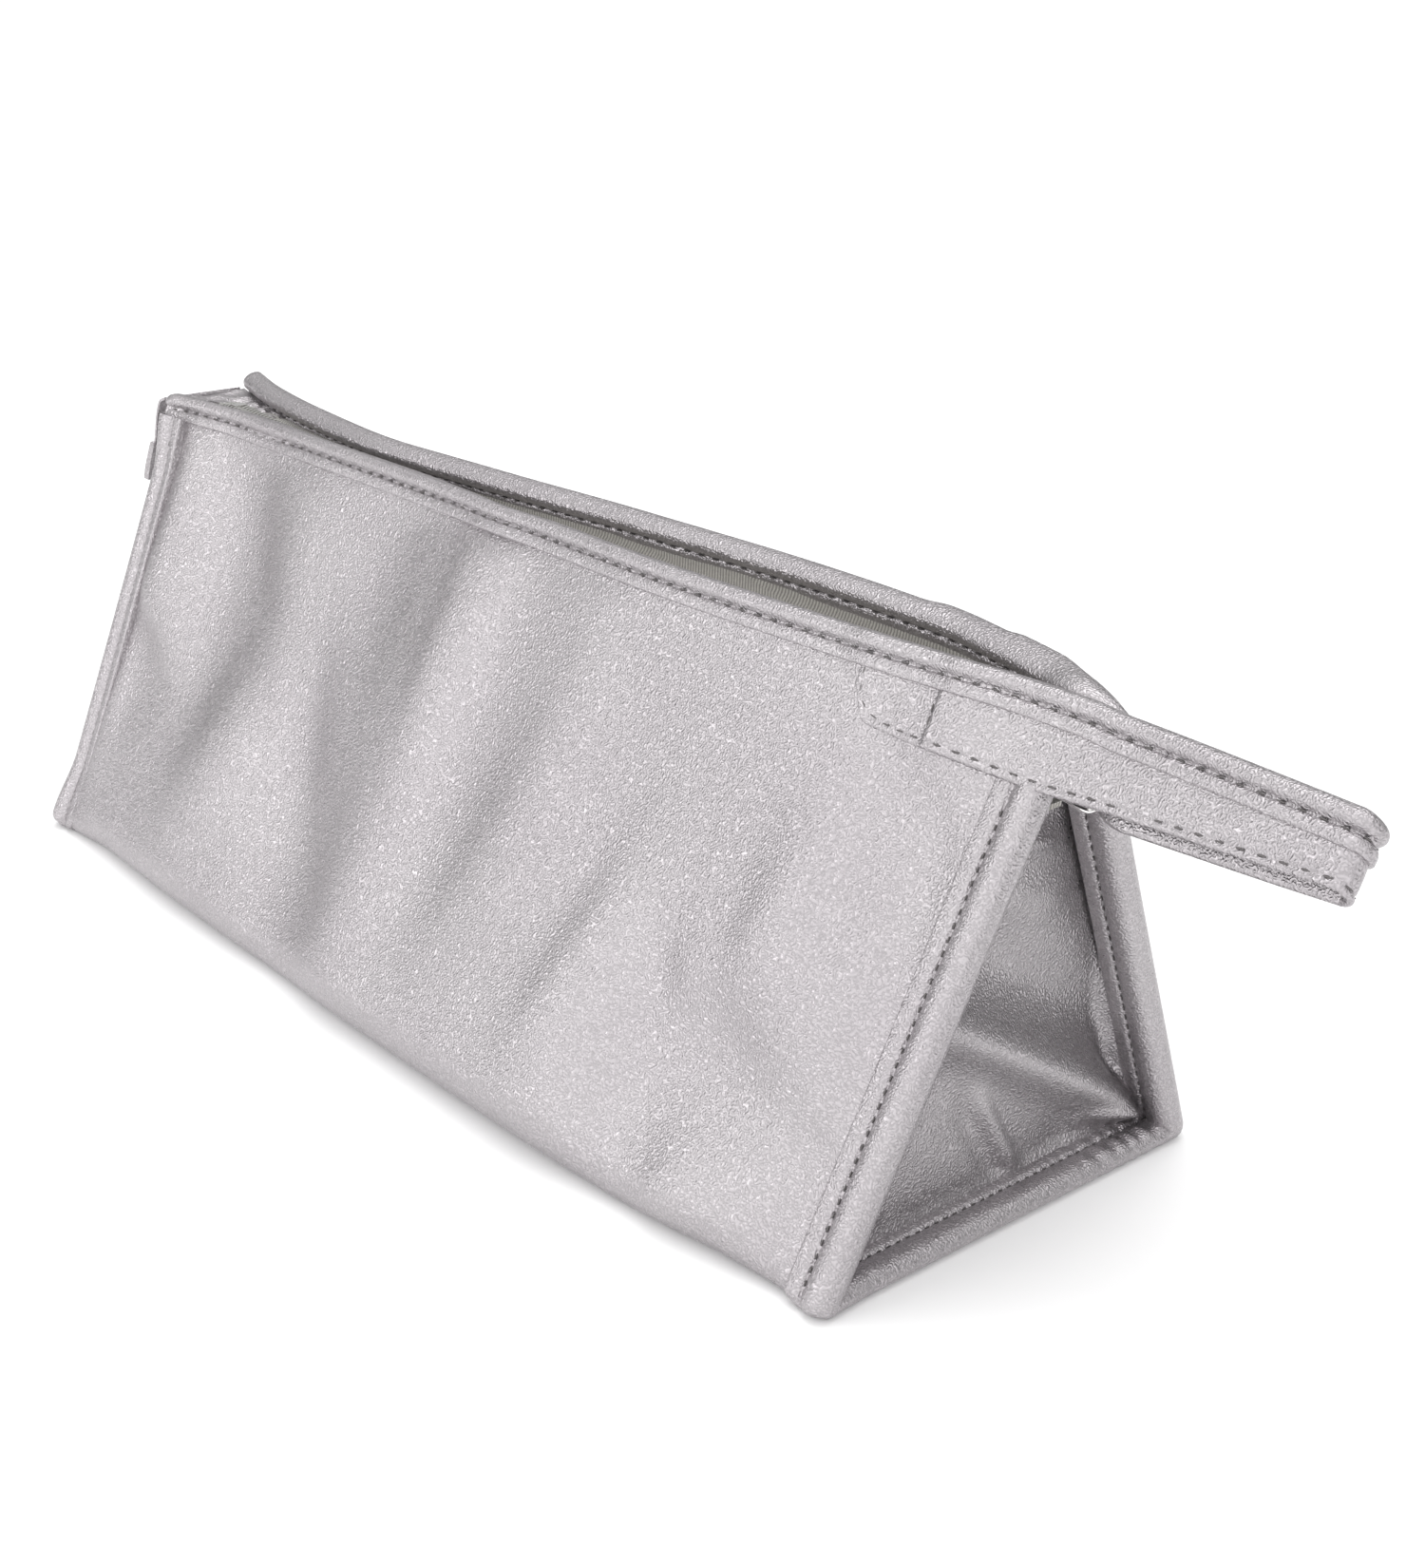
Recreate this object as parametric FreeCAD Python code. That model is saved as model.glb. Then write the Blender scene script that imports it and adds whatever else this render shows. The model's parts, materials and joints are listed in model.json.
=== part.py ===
import FreeCAD, Part

import math
import os

# A long zipped pouch of triangular section, with a loop handle at one end.
# Millimetres. X runs along the pouch towards the handle, the front wall is on -Y, Z is up.
# The origin is the centre of the flat base, on the surface the pouch stands on.

# ---- driving dimensions ----
BASE_HALF_LENGTH = 151.6  # the walls' ends at the base
TOP_HALF_LENGTH = 155.0  # the walls' ends at the lips
BASE_HALF_WIDTH = 59.0  # the walls' outer faces at the base
MOUTH_HALF_WIDTH = 9.0  # the walls' outer faces at the lips
WALL_HEIGHT = 117.0
FLOOR_GAP = 0.3  # the walls hang this far above the surface; the base carries the pouch
JOIN_GAP = 0.35  # clearance between parts that move against each other

PANEL_T = 1.0  # outer coated fabric
PADDING_T = 2.0  # foam
LINING_T = 0.5
WALL_T = PANEL_T + PADDING_T + LINING_T
BINDING_T = 1.0  # the binding tape, which stands this far proud of both faces
BINDING_CAP = 1.2  # how far the rolled binding stands past an edge
TOP_BINDING_W = 7.6
END_BINDING_W = 10.5

BOARD_T = 1.2  # stiffener in the base
GUSSET_OUTER_X = 142.0  # the end panels stand in from the walls' ends
GUSSET_T = 1.0
RIGHT_SHOULDER_DROP = 4.2  # how far each end panel's shoulders are below the zip
LEFT_SHOULDER_DROP = 7.0

# The closed zip runs straight, and is higher at the plain end than at the handle end.
ZIP_X = (145.0, -155.0)
ZIP_Z = (93.0, 115.5)
TAPE_T = 0.6
TAPE_INNER_Y = 0.9  # the tapes stop short of the middle, where the slider's post runs
COIL_W = 1.8
COIL_H = 1.6
TAPE_END_X = 140.0
SLIDER_HALF_LENGTH = 5.5
SLIDER_X = 134.0  # the slider's middle when the zip is closed
SLIDER_HALF_WIDTH = 4.2
SLIDER_PLATE_T = 1.2
SLIDER_CLEAR = 0.4  # between the slider's channel and the coil or tape
SLIDER_FLANGE_Y = 3.4  # the flanges' inner faces
SLIDER_POST = (1.0, 5.0)  # the post that parts the coils, along the slider
SLIDER_BRIDGE = (-2.6, 4.2)
BRIDGE_HALF_WIDTH = 1.3
STATION_RIGHT = 127.6  # the tapes are cut back beside the slider at both ends
STATION_LEFT = -124.5
STATION_HALF_WIDTH = 6.5
PIVOT_X = 1.5  # the pull's bar, along the slider and above the tape
PIVOT_HEIGHT = 4.9
EYE_RADIUS = 1.05
PULL_LENGTH = 24.0
PULL_HALF_WIDTH = 3.3
PULL_RAIL = 1.3
PULL_DROOP = 5.0  # degrees, the pull lying on the zip

# The two tapes are sewn together past both ends of the coil, and a clip stops the slider there.
RIGHT_ZIP_END = (140.2, 150.0)
LEFT_ZIP_END = (-156.5, -137.4)
RIGHT_STOP_X = 141.6
LEFT_STOP_X = -138.6
ZIP_END_HALF_WIDTH = 3.4
STOP_HALF_WIDTH = 2.0
STOP_T = 1.2
NECK_HALF_WIDTH = 3.0  # the end panels reach up to the zip between the walls

# The strap that makes the handle, in the wall's own slant coordinate.
STRAP_S = (112.5, 121.3)
STRAP_ROOT_S = 109.0  # its sewn ends reach lower than the loop
STRAP_TOP_S = 128.9
STRAP_T = 1.6
STRAP_BINDING_T = 2.4
LOOP_GAP = 4.4
LOOP_HINGE_X = 176.0
LOOP_TURN_X = 216.5
LOOP_ROOT_X = 167.7
LOOP_SHIFT_Y = 4.5  # the loop stands this far behind the front wall's plane
STRAP_ROOT_END_X = 167.2  # the sewn strap ends stand out past the walls to here
BACK_LEG_X = 195.0  # the back leg lies behind the front one from here to the turn
BACK_NECK_X = 177.0
PATCH_X = (106.7, 127.0)
PATCH_S = 110.0
PATCH_CORNER = 5.0

TAIL_HALF_WIDTH = 13.0
TAIL_T = 1.2
TAB_T = 2.4
TAIL_LINE = [(-157.5, 115.7), (-160.5, 113.6), (-162.9, 109.5), (-164.4, 104.5), (-165.2, 100.0)]
TAB_LINE = [(-165.3, 99.4), (-167.2, 94.0), (-169.8, 89.6)]

# ---- derived ----
LEAN = math.atan2(BASE_HALF_WIDTH - MOUTH_HALF_WIDTH, WALL_HEIGHT)
SLANT = math.hypot(BASE_HALF_WIDTH - MOUTH_HALF_WIDTH, WALL_HEIGHT)
ZIP_TILT = math.atan2(ZIP_Z[1] - ZIP_Z[0], ZIP_X[0] - ZIP_X[1])
PANEL_TOP_S = SLANT + BINDING_CAP - TOP_BINDING_W  # where the top binding starts
BASE_STACK_T = PANEL_T + BOARD_T + LINING_T
BASE_EDGE_Y = (
    BASE_HALF_WIDTH
    - (BASE_STACK_T + BINDING_T) * math.tan(LEAN)
    - (WALL_T + BINDING_T) / math.cos(LEAN)
    - JOIN_GAP
)

V = FreeCAD.Vector


def save(name, shape):
    """Writes one sub-part."""
    shape.exportStep("parts/" + name + ".step")
    print(name, "solids", len(shape.Solids), "volume", round(shape.Volume, 1), "valid", shape.isValid())


def prism(points, direction):
    """A flat polygon pushed along a direction."""
    outline = Part.makePolygon(points + [points[0]])
    return Part.Face(outline).extrude(direction)


def box(x, y, z):
    """A box from its (low, high) pairs."""
    return Part.makeBox(x[1] - x[0], y[1] - y[0], z[1] - z[0], V(x[0], y[0], z[0]))


# ---- the walls' own coordinates: u along the pouch, t inwards from the outer face, s up the slant ----


def plate(corners, t):
    """A flat piece of wall from its (u, s) corners and its (low, high) depths."""
    points = [V(u, t[0], s) for u, s in corners]
    return prism(points, V(0, t[1] - t[0], 0))


def stood(shape):
    """Moves a shape from the wall's coordinates to its place in the front wall."""
    turned = shape.copy()
    turned.rotate(V(0, 0, 0), V(1, 0, 0), -math.degrees(LEAN))
    turned.translate(V(0, -BASE_HALF_WIDTH, 0))
    return turned


def front_point(u, t, s):
    """The place of one wall point in the front wall."""
    y = -BASE_HALF_WIDTH + t * math.cos(LEAN) + s * math.sin(LEAN)
    z = -t * math.sin(LEAN) + s * math.cos(LEAN)
    return V(u, y, z)


def back_point(u, t, s):
    """The same point in the back wall."""
    point = front_point(u, t, s)
    return V(point.x, -point.y, point.z)


def mirrored(shape):
    """The back wall's copy of a front wall shape."""
    return shape.mirror(V(0, 0, 0), V(0, 1, 0))


def above_floor(shape):
    """Cuts a wall shape off level, just above the surface."""
    below = box((-400, 400), (-200, 200), (-60, FLOOR_GAP))
    return shape.cut(below)


def end_u(s):
    """Half the wall's length, at a height up the slant."""
    return BASE_HALF_LENGTH + (TOP_HALF_LENGTH - BASE_HALF_LENGTH) * s / SLANT


def wall_layer(t):
    """One layer of the wall, over its whole outline."""
    low = end_u(0)
    high = end_u(SLANT)
    corners = [(-low, 0), (low, 0), (high, SLANT), (-high, SLANT)]
    return above_floor(stood(plate(corners, t)))


def inner_y(z):
    """How far the wall's inner face is from the middle, at a height."""
    return BASE_HALF_WIDTH - z * math.tan(LEAN) - WALL_T / math.cos(LEAN)


# ---- bindings ----


def top_binding():
    """The folded tape over the lip, along the whole wall."""
    half = TOP_HALF_LENGTH + BINDING_T
    depth = (-BINDING_T, WALL_T + BINDING_T)
    roll = box((-half, half), depth, (PANEL_TOP_S, SLANT + BINDING_CAP))
    ridges = [e for e in roll.Edges if e.Length > half and e.BoundBox.ZMin > SLANT]
    roll = roll.makeFillet(BINDING_T, ridges)
    core = box((-half - 1, half + 1), (0, WALL_T), (0, SLANT))
    return stood(roll.cut(core))


def end_binding(side, top_s):
    """The folded tape over one end of the wall, up to a height."""
    outer = BINDING_CAP
    inner = BINDING_CAP - END_BINDING_W
    ends = [(0, outer), (top_s, outer), (top_s, inner), (0, inner)]
    corners = [(side * (end_u(s) + off), s) for s, off in ends]
    sleeve = plate(corners, (-BINDING_T, WALL_T + BINDING_T))
    low = end_u(0)
    high = end_u(SLANT)
    core = plate([(-low, 0), (low, 0), (high, SLANT), (-high, SLANT)], (0, WALL_T))
    return above_floor(stood(sleeve.cut(core)))


def base_binding(side):
    """The folded tape over one end of the base."""
    x = (BASE_HALF_LENGTH + BINDING_T - END_BINDING_W, BASE_HALF_LENGTH + BINDING_T)
    x = x if side > 0 else (-x[1], -x[0])
    sleeve = box(x, (-BASE_EDGE_Y, BASE_EDGE_Y), (0, BASE_STACK_T + BINDING_T))
    return sleeve.cut(base_layers_block())


# ---- base and end panels ----


def base_layers_block():
    """The space that the base's layers fill."""
    return box(
        (-BASE_HALF_LENGTH, BASE_HALF_LENGTH),
        (-BASE_EDGE_Y, BASE_EDGE_Y),
        (0, BASE_STACK_T),
    )


def base_layer(z):
    """One layer of the base."""
    return base_layers_block().common(box((-400, 400), (-200, 200), z))


def zip_z(x):
    """The height of the closed zip's tape."""
    return ZIP_Z[0] + (ZIP_X[0] - x) * math.tan(ZIP_TILT)


def gusset(side, x, shoulder, neck_top):
    """One end panel: it fills the end between the walls and carries the end of the zip on its neck."""
    wide = inner_y(BASE_STACK_T) - JOIN_GAP
    narrow = inner_y(shoulder) - JOIN_GAP
    neck_y = NECK_HALF_WIDTH
    half = [(wide, BASE_STACK_T), (narrow, shoulder), (neck_y, shoulder), (neck_y, neck_top)]
    outline = half + [(-y, z) for y, z in reversed(half)]
    low = min(side * x[0], side * x[1])
    points = [V(low, y, z) for y, z in outline]
    return prism(points, V(x[1] - x[0], 0, 0))


# ---- the zip ----


def zip_placed(shape, x):
    """Puts a shape made about the zip's line at one place along it."""
    placed = shape.copy()
    placed.rotate(V(0, 0, 0), V(0, 1, 0), math.degrees(ZIP_TILT))
    placed.translate(V(x, 0, zip_z(x)))
    return placed


def zip_tape():
    """The front tape: from the wall's inner face to just short of the middle."""

    def section(x):
        z = zip_z(x)
        top = z + TAPE_T / 2
        low = z - TAPE_T / 2
        points = [
            V(x, -inner_y(low), low),
            V(x, -TAPE_INNER_Y, low),
            V(x, -TAPE_INNER_Y, top),
            V(x, -inner_y(top), top),
        ]
        return Part.makePolygon(points + [points[0]])

    tape = Part.makeLoft([section(-TAPE_END_X), section(TAPE_END_X)], True, True)
    for x in ((STATION_RIGHT, 200), (-200, STATION_LEFT)):
        tape = tape.cut(box(x, (-STATION_HALF_WIDTH, 1), (0, 200)))
    return tape.cut(top_binding())


def zip_coil():
    """One row of the coil, along the inner edge of the front tape."""
    length = (STATION_RIGHT - STATION_LEFT - 1.0) / math.cos(ZIP_TILT)
    row = box(
        (-length / 2, length / 2),
        (-TAPE_INNER_Y - COIL_W, -TAPE_INNER_Y),
        (TAPE_T / 2 + 0.02, TAPE_T / 2 + COIL_H),
    )
    middle = (STATION_RIGHT + STATION_LEFT) / 2
    return zip_placed(row, middle)


def zip_end(x):
    """The two tapes sewn together past one end of the coil."""
    length = (x[1] - x[0]) / math.cos(ZIP_TILT)
    strip = box((-length / 2, length / 2), (-ZIP_END_HALF_WIDTH, ZIP_END_HALF_WIDTH), (-TAPE_T, TAPE_T))
    return zip_placed(strip, (x[0] + x[1]) / 2)


def zip_stop(x):
    """The metal clip that stops the slider."""
    clip = box((-1.0, 1.0), (-STOP_HALF_WIDTH, STOP_HALF_WIDTH), (TAPE_T, TAPE_T + STOP_T))
    return zip_placed(clip, x)


def slider_body():
    """Two plates joined by a post, flanges that hold the coil, and the bridge that carries the pull."""
    half = SLIDER_HALF_LENGTH
    wide = SLIDER_HALF_WIDTH
    slot = TAPE_T / 2 + SLIDER_CLEAR
    ceiling = TAPE_T / 2 + COIL_H + SLIDER_CLEAR
    top = ceiling + SLIDER_PLATE_T
    upper = box((-half, half), (-wide, wide), (ceiling, top))
    lower = box((-half, half), (-wide, wide), (-slot - SLIDER_PLATE_T, -slot))
    post = box(SLIDER_POST, (-0.6, 0.6), (-slot - 0.1, ceiling + 0.1))
    sides = ((-wide, -SLIDER_FLANGE_Y), (SLIDER_FLANGE_Y, wide))
    flanges = [box((-half, half), y, (slot, ceiling)) for y in sides]
    bridge = box(SLIDER_BRIDGE, (-BRIDGE_HALF_WIDTH, BRIDGE_HALF_WIDTH), (top - 0.1, PIVOT_HEIGHT + 1.9))
    bridge = bridge.makeFillet(1.2, [e for e in bridge.Edges if e.BoundBox.ZMin > PIVOT_HEIGHT + 1.5])
    eye = Part.makeCylinder(EYE_RADIUS, 6, V(PIVOT_X, -3, PIVOT_HEIGHT), V(0, 1, 0))
    body = upper.multiFuse([lower, post, bridge] + flanges).removeSplitter()
    return zip_placed(body.cut(eye), SLIDER_X)


def pull_ring():
    """The rectangular wire frame that hangs in the slider's bridge."""
    rail = PULL_RAIL
    wide = PULL_HALF_WIDTH
    frame = box((0, PULL_LENGTH), (-wide, wide), (-rail / 2, rail / 2))
    corners = [e for e in frame.Edges if abs(e.BoundBox.ZLength - rail) < 0.01]
    frame = frame.makeFillet(1.0, [e for e in corners if e.BoundBox.XMin > 1])
    hole = box((-1, PULL_LENGTH - rail), (-wide + rail, wide - rail), (-rail, rail))
    bar = Part.makeCylinder(rail / 2, 2 * wide, V(0, -wide, 0), V(0, 1, 0))
    ring = frame.cut(hole).fuse(bar).removeSplitter()
    ring.rotate(V(0, 0, 0), V(0, 1, 0), PULL_DROOP)
    ring.translate(V(PIVOT_X, 0, PIVOT_HEIGHT))
    return zip_placed(ring, SLIDER_X)


# ---- the tail at the plain end ----


def tail_strip(points, thickness):
    """A strip across the pouch that follows (x, z) points, with a thickness to each side of them."""
    left = []
    right = []
    for i, (x, z) in enumerate(points):
        before = points[max(i - 1, 0)]
        after = points[min(i + 1, len(points) - 1)]
        dx = after[0] - before[0]
        dz = after[1] - before[1]
        size = math.hypot(dx, dz)
        nx = -dz / size * thickness / 2
        nz = dx / size * thickness / 2
        left.append(V(x + nx, -TAIL_HALF_WIDTH, z + nz))
        right.append(V(x - nx, -TAIL_HALF_WIDTH, z - nz))
    return prism(left + right[::-1], V(0, 2 * TAIL_HALF_WIDTH, 0))


# ---- the handle ----


def loop_profile(t, x_back):
    """Outline along the slant of a strap that runs out, turns and comes back, at (outer, inner) depth."""
    middle = LOOP_GAP / 2
    outer_r = middle - t[0]
    inner_r = middle - t[1]
    outer_t = t[0]
    inner_t = t[1]
    back_in = LOOP_GAP - inner_t
    back_out = LOOP_GAP - outer_t
    turn = LOOP_TURN_X
    root = LOOP_ROOT_X
    edges = [
        Part.LineSegment(V(root, outer_t, 0), V(turn, outer_t, 0)).toShape(),
        Part.Arc(V(turn, outer_t, 0), V(turn + outer_r, middle, 0), V(turn, back_out, 0)).toShape(),
        Part.LineSegment(V(turn, back_out, 0), V(x_back, back_out, 0)).toShape(),
        Part.LineSegment(V(x_back, back_out, 0), V(x_back, back_in, 0)).toShape(),
        Part.LineSegment(V(x_back, back_in, 0), V(turn, back_in, 0)).toShape(),
        Part.Arc(V(turn, back_in, 0), V(turn + inner_r, middle, 0), V(turn, inner_t, 0)).toShape(),
        Part.LineSegment(V(turn, inner_t, 0), V(root, inner_t, 0)).toShape(),
        Part.LineSegment(V(root, inner_t, 0), V(root, outer_t, 0)).toShape(),
    ]
    return Part.Face(Part.Wire(edges))


def round_root():
    """What the strap keeps at its root, so that it can turn about its hinge without meeting the wall."""
    middle = (STRAP_S[0] + STRAP_TOP_S) / 2
    radius = (STRAP_TOP_S - STRAP_S[0]) / 2 + 0.1
    disc = Part.makeCylinder(radius, 40, V(LOOP_HINGE_X, -20, middle), V(0, 1, 0))
    rest = box((LOOP_HINGE_X, 300), (-20, 20), (0, 200))
    return disc.fuse(rest)


def neck(t, s):
    """The back leg's stretch from the back wall's plane to behind the front leg."""
    depths = (t[0], t[0], t[1], t[1])
    heights = (s[0], s[1], s[1], s[0])
    near = [back_point(BACK_NECK_X, depth, high) for depth, high in zip(depths, heights)]
    far = [front_point(BACK_LEG_X, LOOP_GAP - depth, high) for depth, high in zip(depths, heights)]
    far = [point + V(0, LOOP_SHIFT_Y, 0) for point in far]
    wires = [Part.makePolygon(points + [points[0]]) for points in (near, far)]
    return Part.makeLoft(wires, True, True)


def handle_band(t, s):
    """One of the loop's two bands, at (outer, inner) depth and (low, high) slant."""
    loop = loop_profile(t, BACK_LEG_X).extrude(V(0, 0, s[1] - s[0]))
    loop.translate(V(0, 0, s[0]))
    loop = stood(loop.common(round_root()))
    loop.translate(V(0, LOOP_SHIFT_Y, 0))
    root = box((LOOP_ROOT_X, BACK_NECK_X), t, s).common(round_root())
    return loop.multiFuse([neck(t, s), mirrored(stood(root))]).removeSplitter()


def strap_patch():
    """The sewn tab on the front wall that the strap starts from, with one rounded corner."""
    low = [(x, PATCH_S) for x in PATCH_X]
    high = [(x, PANEL_TOP_S) for x in PATCH_X]
    corners = low + high[::-1]
    patch = plate(corners, (-PANEL_T, 0))
    edge = [e for e in patch.Edges if e.BoundBox.XMax < PATCH_X[0] + 0.1 and e.BoundBox.ZMax < PATCH_S + 0.1]
    return stood(patch.makeFillet(PATCH_CORNER, edge))


def strap_root():
    """The strap sewn over the end of the front wall."""
    return stood(box((PATCH_X[1] + 0.2, STRAP_ROOT_END_X), (-STRAP_T, 0), (STRAP_ROOT_S, PANEL_TOP_S)))


# ---- the whole pouch ----


def make_base():
    """The base body: floor panel, stiffener, lining, end panels and the fixed ends of the zip."""
    board_z = (PANEL_T, PANEL_T + BOARD_T)
    save("base_panel", base_layer((0, PANEL_T)))
    save("base_board", base_layer(board_z))
    save("base_lining", base_layer((board_z[1], board_z[1] + LINING_T)))
    inner_x = GUSSET_OUTER_X - GUSSET_T
    shoulders = {
        1: zip_z(GUSSET_OUTER_X) - RIGHT_SHOULDER_DROP,
        -1: zip_z(-GUSSET_OUTER_X) - LEFT_SHOULDER_DROP,
    }
    for side, word in ((1, "right"), (-1, "left")):
        shoulder = shoulders[side]
        neck_top = min(zip_z(side * GUSSET_OUTER_X), zip_z(side * inner_x)) - TAPE_T * 1.1
        outer = gusset(side, (inner_x, GUSSET_OUTER_X), shoulder, neck_top)
        lining = gusset(side, (inner_x - LINING_T, inner_x), shoulder - 2, shoulder - 1)
        save(word + "_gusset", outer)
        save(word + "_gusset_lining", lining)
        save(word + "_base_binding", base_binding(side))
    save("right_zip_end", zip_end(RIGHT_ZIP_END))
    save("left_zip_end", zip_end(LEFT_ZIP_END))
    save("right_zip_stop", zip_stop(RIGHT_STOP_X))
    save("left_zip_stop", zip_stop(LEFT_STOP_X))


def make_walls():
    """Both walls, each with its layers, bindings, half of the zip and sewn end of the strap."""
    depths = {
        "panel": (0, PANEL_T),
        "padding": (PANEL_T, PANEL_T + PADDING_T),
        "lining": (PANEL_T + PADDING_T, WALL_T),
    }
    pieces = {"{}_" + layer: wall_layer(t) for layer, t in depths.items()}
    pieces["{}_top_binding"] = top_binding()
    pieces["left_{}_binding"] = end_binding(-1, PANEL_TOP_S)
    pieces["right_{}_binding"] = end_binding(1, STRAP_ROOT_S)
    pieces["{}_zip_tape"] = zip_tape()
    pieces["{}_zip_coil"] = zip_coil()
    pieces["{}_strap_patch"] = strap_patch()
    pieces["{}_strap_root"] = strap_root()
    for name, shape in pieces.items():
        save(name.format("front"), shape)
        save(name.format("back"), mirrored(shape))


def make_moving_trim():
    """The slider, its pull, the tail and the loop."""
    save("slider_body", slider_body())
    save("pull_ring", pull_ring())
    save("tail_tape", tail_strip(TAIL_LINE, TAIL_T))
    save("tail_tab", tail_strip(TAB_LINE, TAB_T))
    binding_extra = (STRAP_BINDING_T - STRAP_T) / 2
    save("handle_strap", handle_band((-STRAP_T, 0), STRAP_S))
    save("handle_binding", handle_band((-STRAP_T - binding_extra, binding_extra), (STRAP_S[1], STRAP_TOP_S)))


os.makedirs("parts", exist_ok=True)
make_base()
make_walls()
make_moving_trim()
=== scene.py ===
import json
import math

import bmesh
import bpy
import numpy as np
from mathutils import Matrix, Vector


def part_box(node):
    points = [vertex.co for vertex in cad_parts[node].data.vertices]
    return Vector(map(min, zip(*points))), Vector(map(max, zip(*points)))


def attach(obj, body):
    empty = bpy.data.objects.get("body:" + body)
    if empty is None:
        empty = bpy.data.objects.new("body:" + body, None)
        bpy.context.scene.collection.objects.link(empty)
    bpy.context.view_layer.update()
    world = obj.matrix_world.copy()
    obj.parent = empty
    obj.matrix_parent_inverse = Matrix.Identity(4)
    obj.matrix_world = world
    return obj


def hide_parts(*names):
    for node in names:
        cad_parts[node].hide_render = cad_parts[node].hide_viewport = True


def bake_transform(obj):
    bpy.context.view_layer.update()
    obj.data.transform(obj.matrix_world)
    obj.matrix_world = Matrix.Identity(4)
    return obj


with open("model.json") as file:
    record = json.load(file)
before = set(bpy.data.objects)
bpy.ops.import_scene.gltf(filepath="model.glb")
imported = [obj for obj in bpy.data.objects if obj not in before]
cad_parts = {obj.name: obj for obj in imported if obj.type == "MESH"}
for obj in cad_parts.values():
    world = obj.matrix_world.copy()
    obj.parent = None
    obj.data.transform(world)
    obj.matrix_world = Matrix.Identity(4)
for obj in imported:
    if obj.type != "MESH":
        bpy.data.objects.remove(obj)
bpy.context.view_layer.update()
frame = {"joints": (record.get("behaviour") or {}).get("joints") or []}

# Lengths in this script are millimetres, and become metres where a mesh is made.
MM = 0.001
FRONT, BACK = -1, 1
LEFT, RIGHT = -1, 1
WALL_BODY = {FRONT: "front_wall", BACK: "back_wall"}
WALL_WORD = {FRONT: "front", BACK: "back"}
END_WORD = {LEFT: "left", RIGHT: "right"}

joints = {joint["name"]: joint for joint in frame["joints"]}


def in_mm(point):
    """A point of the frame, in millimetres."""
    return np.array(point, float) / MM


# ---- sizes taken from the frame ----
FOOT_Y = in_mm(joints["back_wall_fold"]["pos_m"])[1]  # the walls fold about these lines
LIP_Z = in_mm(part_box("front_panel")[1])[2]
TOP_HALF = in_mm(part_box("front_panel")[1])[0]
BINDING_HALF = in_mm(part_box("front_top_binding")[1])[0]
BASE_HALF = in_mm(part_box("base_panel")[1])[0]
GUSSET_X = in_mm(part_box("right_gusset")[1])[0] + 1.5
LOOP_END = in_mm(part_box("handle_strap")[1])[0] - 0.5
LOOP_START = in_mm(joints["handle_swing"]["pos_m"])[0] + 2
ZIP_RIGHT = in_mm(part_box("right_zip_end")[0])
ZIP_DIRECTION = np.array(joints["zip_slide"]["axis"], float)

# ---- sizes of the soft goods ----
SLANT = 127.2  # from the foot of a wall to its lip
SKIN = 3.0  # coated fabric with its foam
LINING = 0.5
WALL = SKIN + LINING
TOP_BINDING = 7.6
TOP_STRIP = 3.1
END_BINDING = 11.5
END_STRIP = 4.1
BINDING_CAP = 1.2
TOP_SEAM_S = SLANT + BINDING_CAP - TOP_BINDING
STITCH_PITCH = 4.4
END_PITCH = 2.9
STRAP_THICK = 1.8
LOOP_GAP = 2.0
LOOP_DROP = 2.6
PATCH_START = 106.7
PATCH_END = 127.0
FOLD_DEPTH = 2.0
END_SEAM = BINDING_CAP - END_BINDING + END_STRIP  # from the wall's end to the end binding's stitches
GUSSET_FOOT = 2.8
GUSSET_TOP = {LEFT: 113.6, RIGHT: 92.4}
ZIP_ENDS = (-156.0, 139.5)
COIL_ENDS = (-153.0, 127.0)
COIL_PITCH = 1.4
LONGEST_SIDE = 0.55  # of a section's straight parts, so that bumps and puckers show
STRAP_TWIST = (141.0, 172.0)  # where the strap's back leg leaves its wall and reaches the front leg
SIXTHS = np.arange(6) * math.pi / 3
WIRE = 0.62


# ---- small mathematics ----


def smooth_curve(points):
    """A function that passes smoothly through (x, value) points."""
    xs, ys = (np.array(column, float) for column in zip(*points))
    steps = np.diff(ys) / np.diff(xs)
    both = steps[:-1] * steps[1:]
    mean = 2 * both / np.where(both > 0, steps[:-1] + steps[1:], 1)
    slopes = np.concatenate([steps[:1], np.where(both > 0, mean, 0), steps[-1:]])

    def value(x):
        x = np.clip(np.asarray(x, float), xs[0], xs[-1])
        i = np.clip(np.searchsorted(xs, x) - 1, 0, len(xs) - 2)
        step = xs[i + 1] - xs[i]
        t = (x - xs[i]) / step
        rise = ys[i] * (2 * t**3 - 3 * t**2 + 1) + ys[i + 1] * (3 * t**2 - 2 * t**3)
        lean = slopes[i] * (t**3 - 2 * t**2 + t) + slopes[i + 1] * (t**3 - t**2)
        return rise + lean * step

    return value


def smoothstep(low, high, x):
    """0 below low, 1 above high, with a smooth change between."""
    t = np.clip((np.asarray(x, float) - low) / (high - low), 0, 1)
    return t * t * (3 - 2 * t)


def unit(v):
    """Vectors of length 1 along the last axis."""
    return v / np.maximum(np.linalg.norm(v, axis=-1, keepdims=True), 1e-12)


def square_to(v, axis):
    """Vectors of length 1: v without its share along an axis."""
    return unit(v - (v * axis).sum(-1, keepdims=True) * axis)


def bent(k, a, b, c, d):
    """A curve from a to d that leaves towards b and arrives from c."""
    return (1 - k) ** 3 * a + 3 * k * (1 - k) ** 2 * b + 3 * k * k * (1 - k) * c + k**3 * d


def through(points, count):
    """Points spread along a smooth curve through a few given ones."""
    steps = np.linspace(0, len(points) - 1, count)
    return np.stack([smooth_curve(list(enumerate(column)))(steps) for column in zip(*points)], -1)


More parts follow.
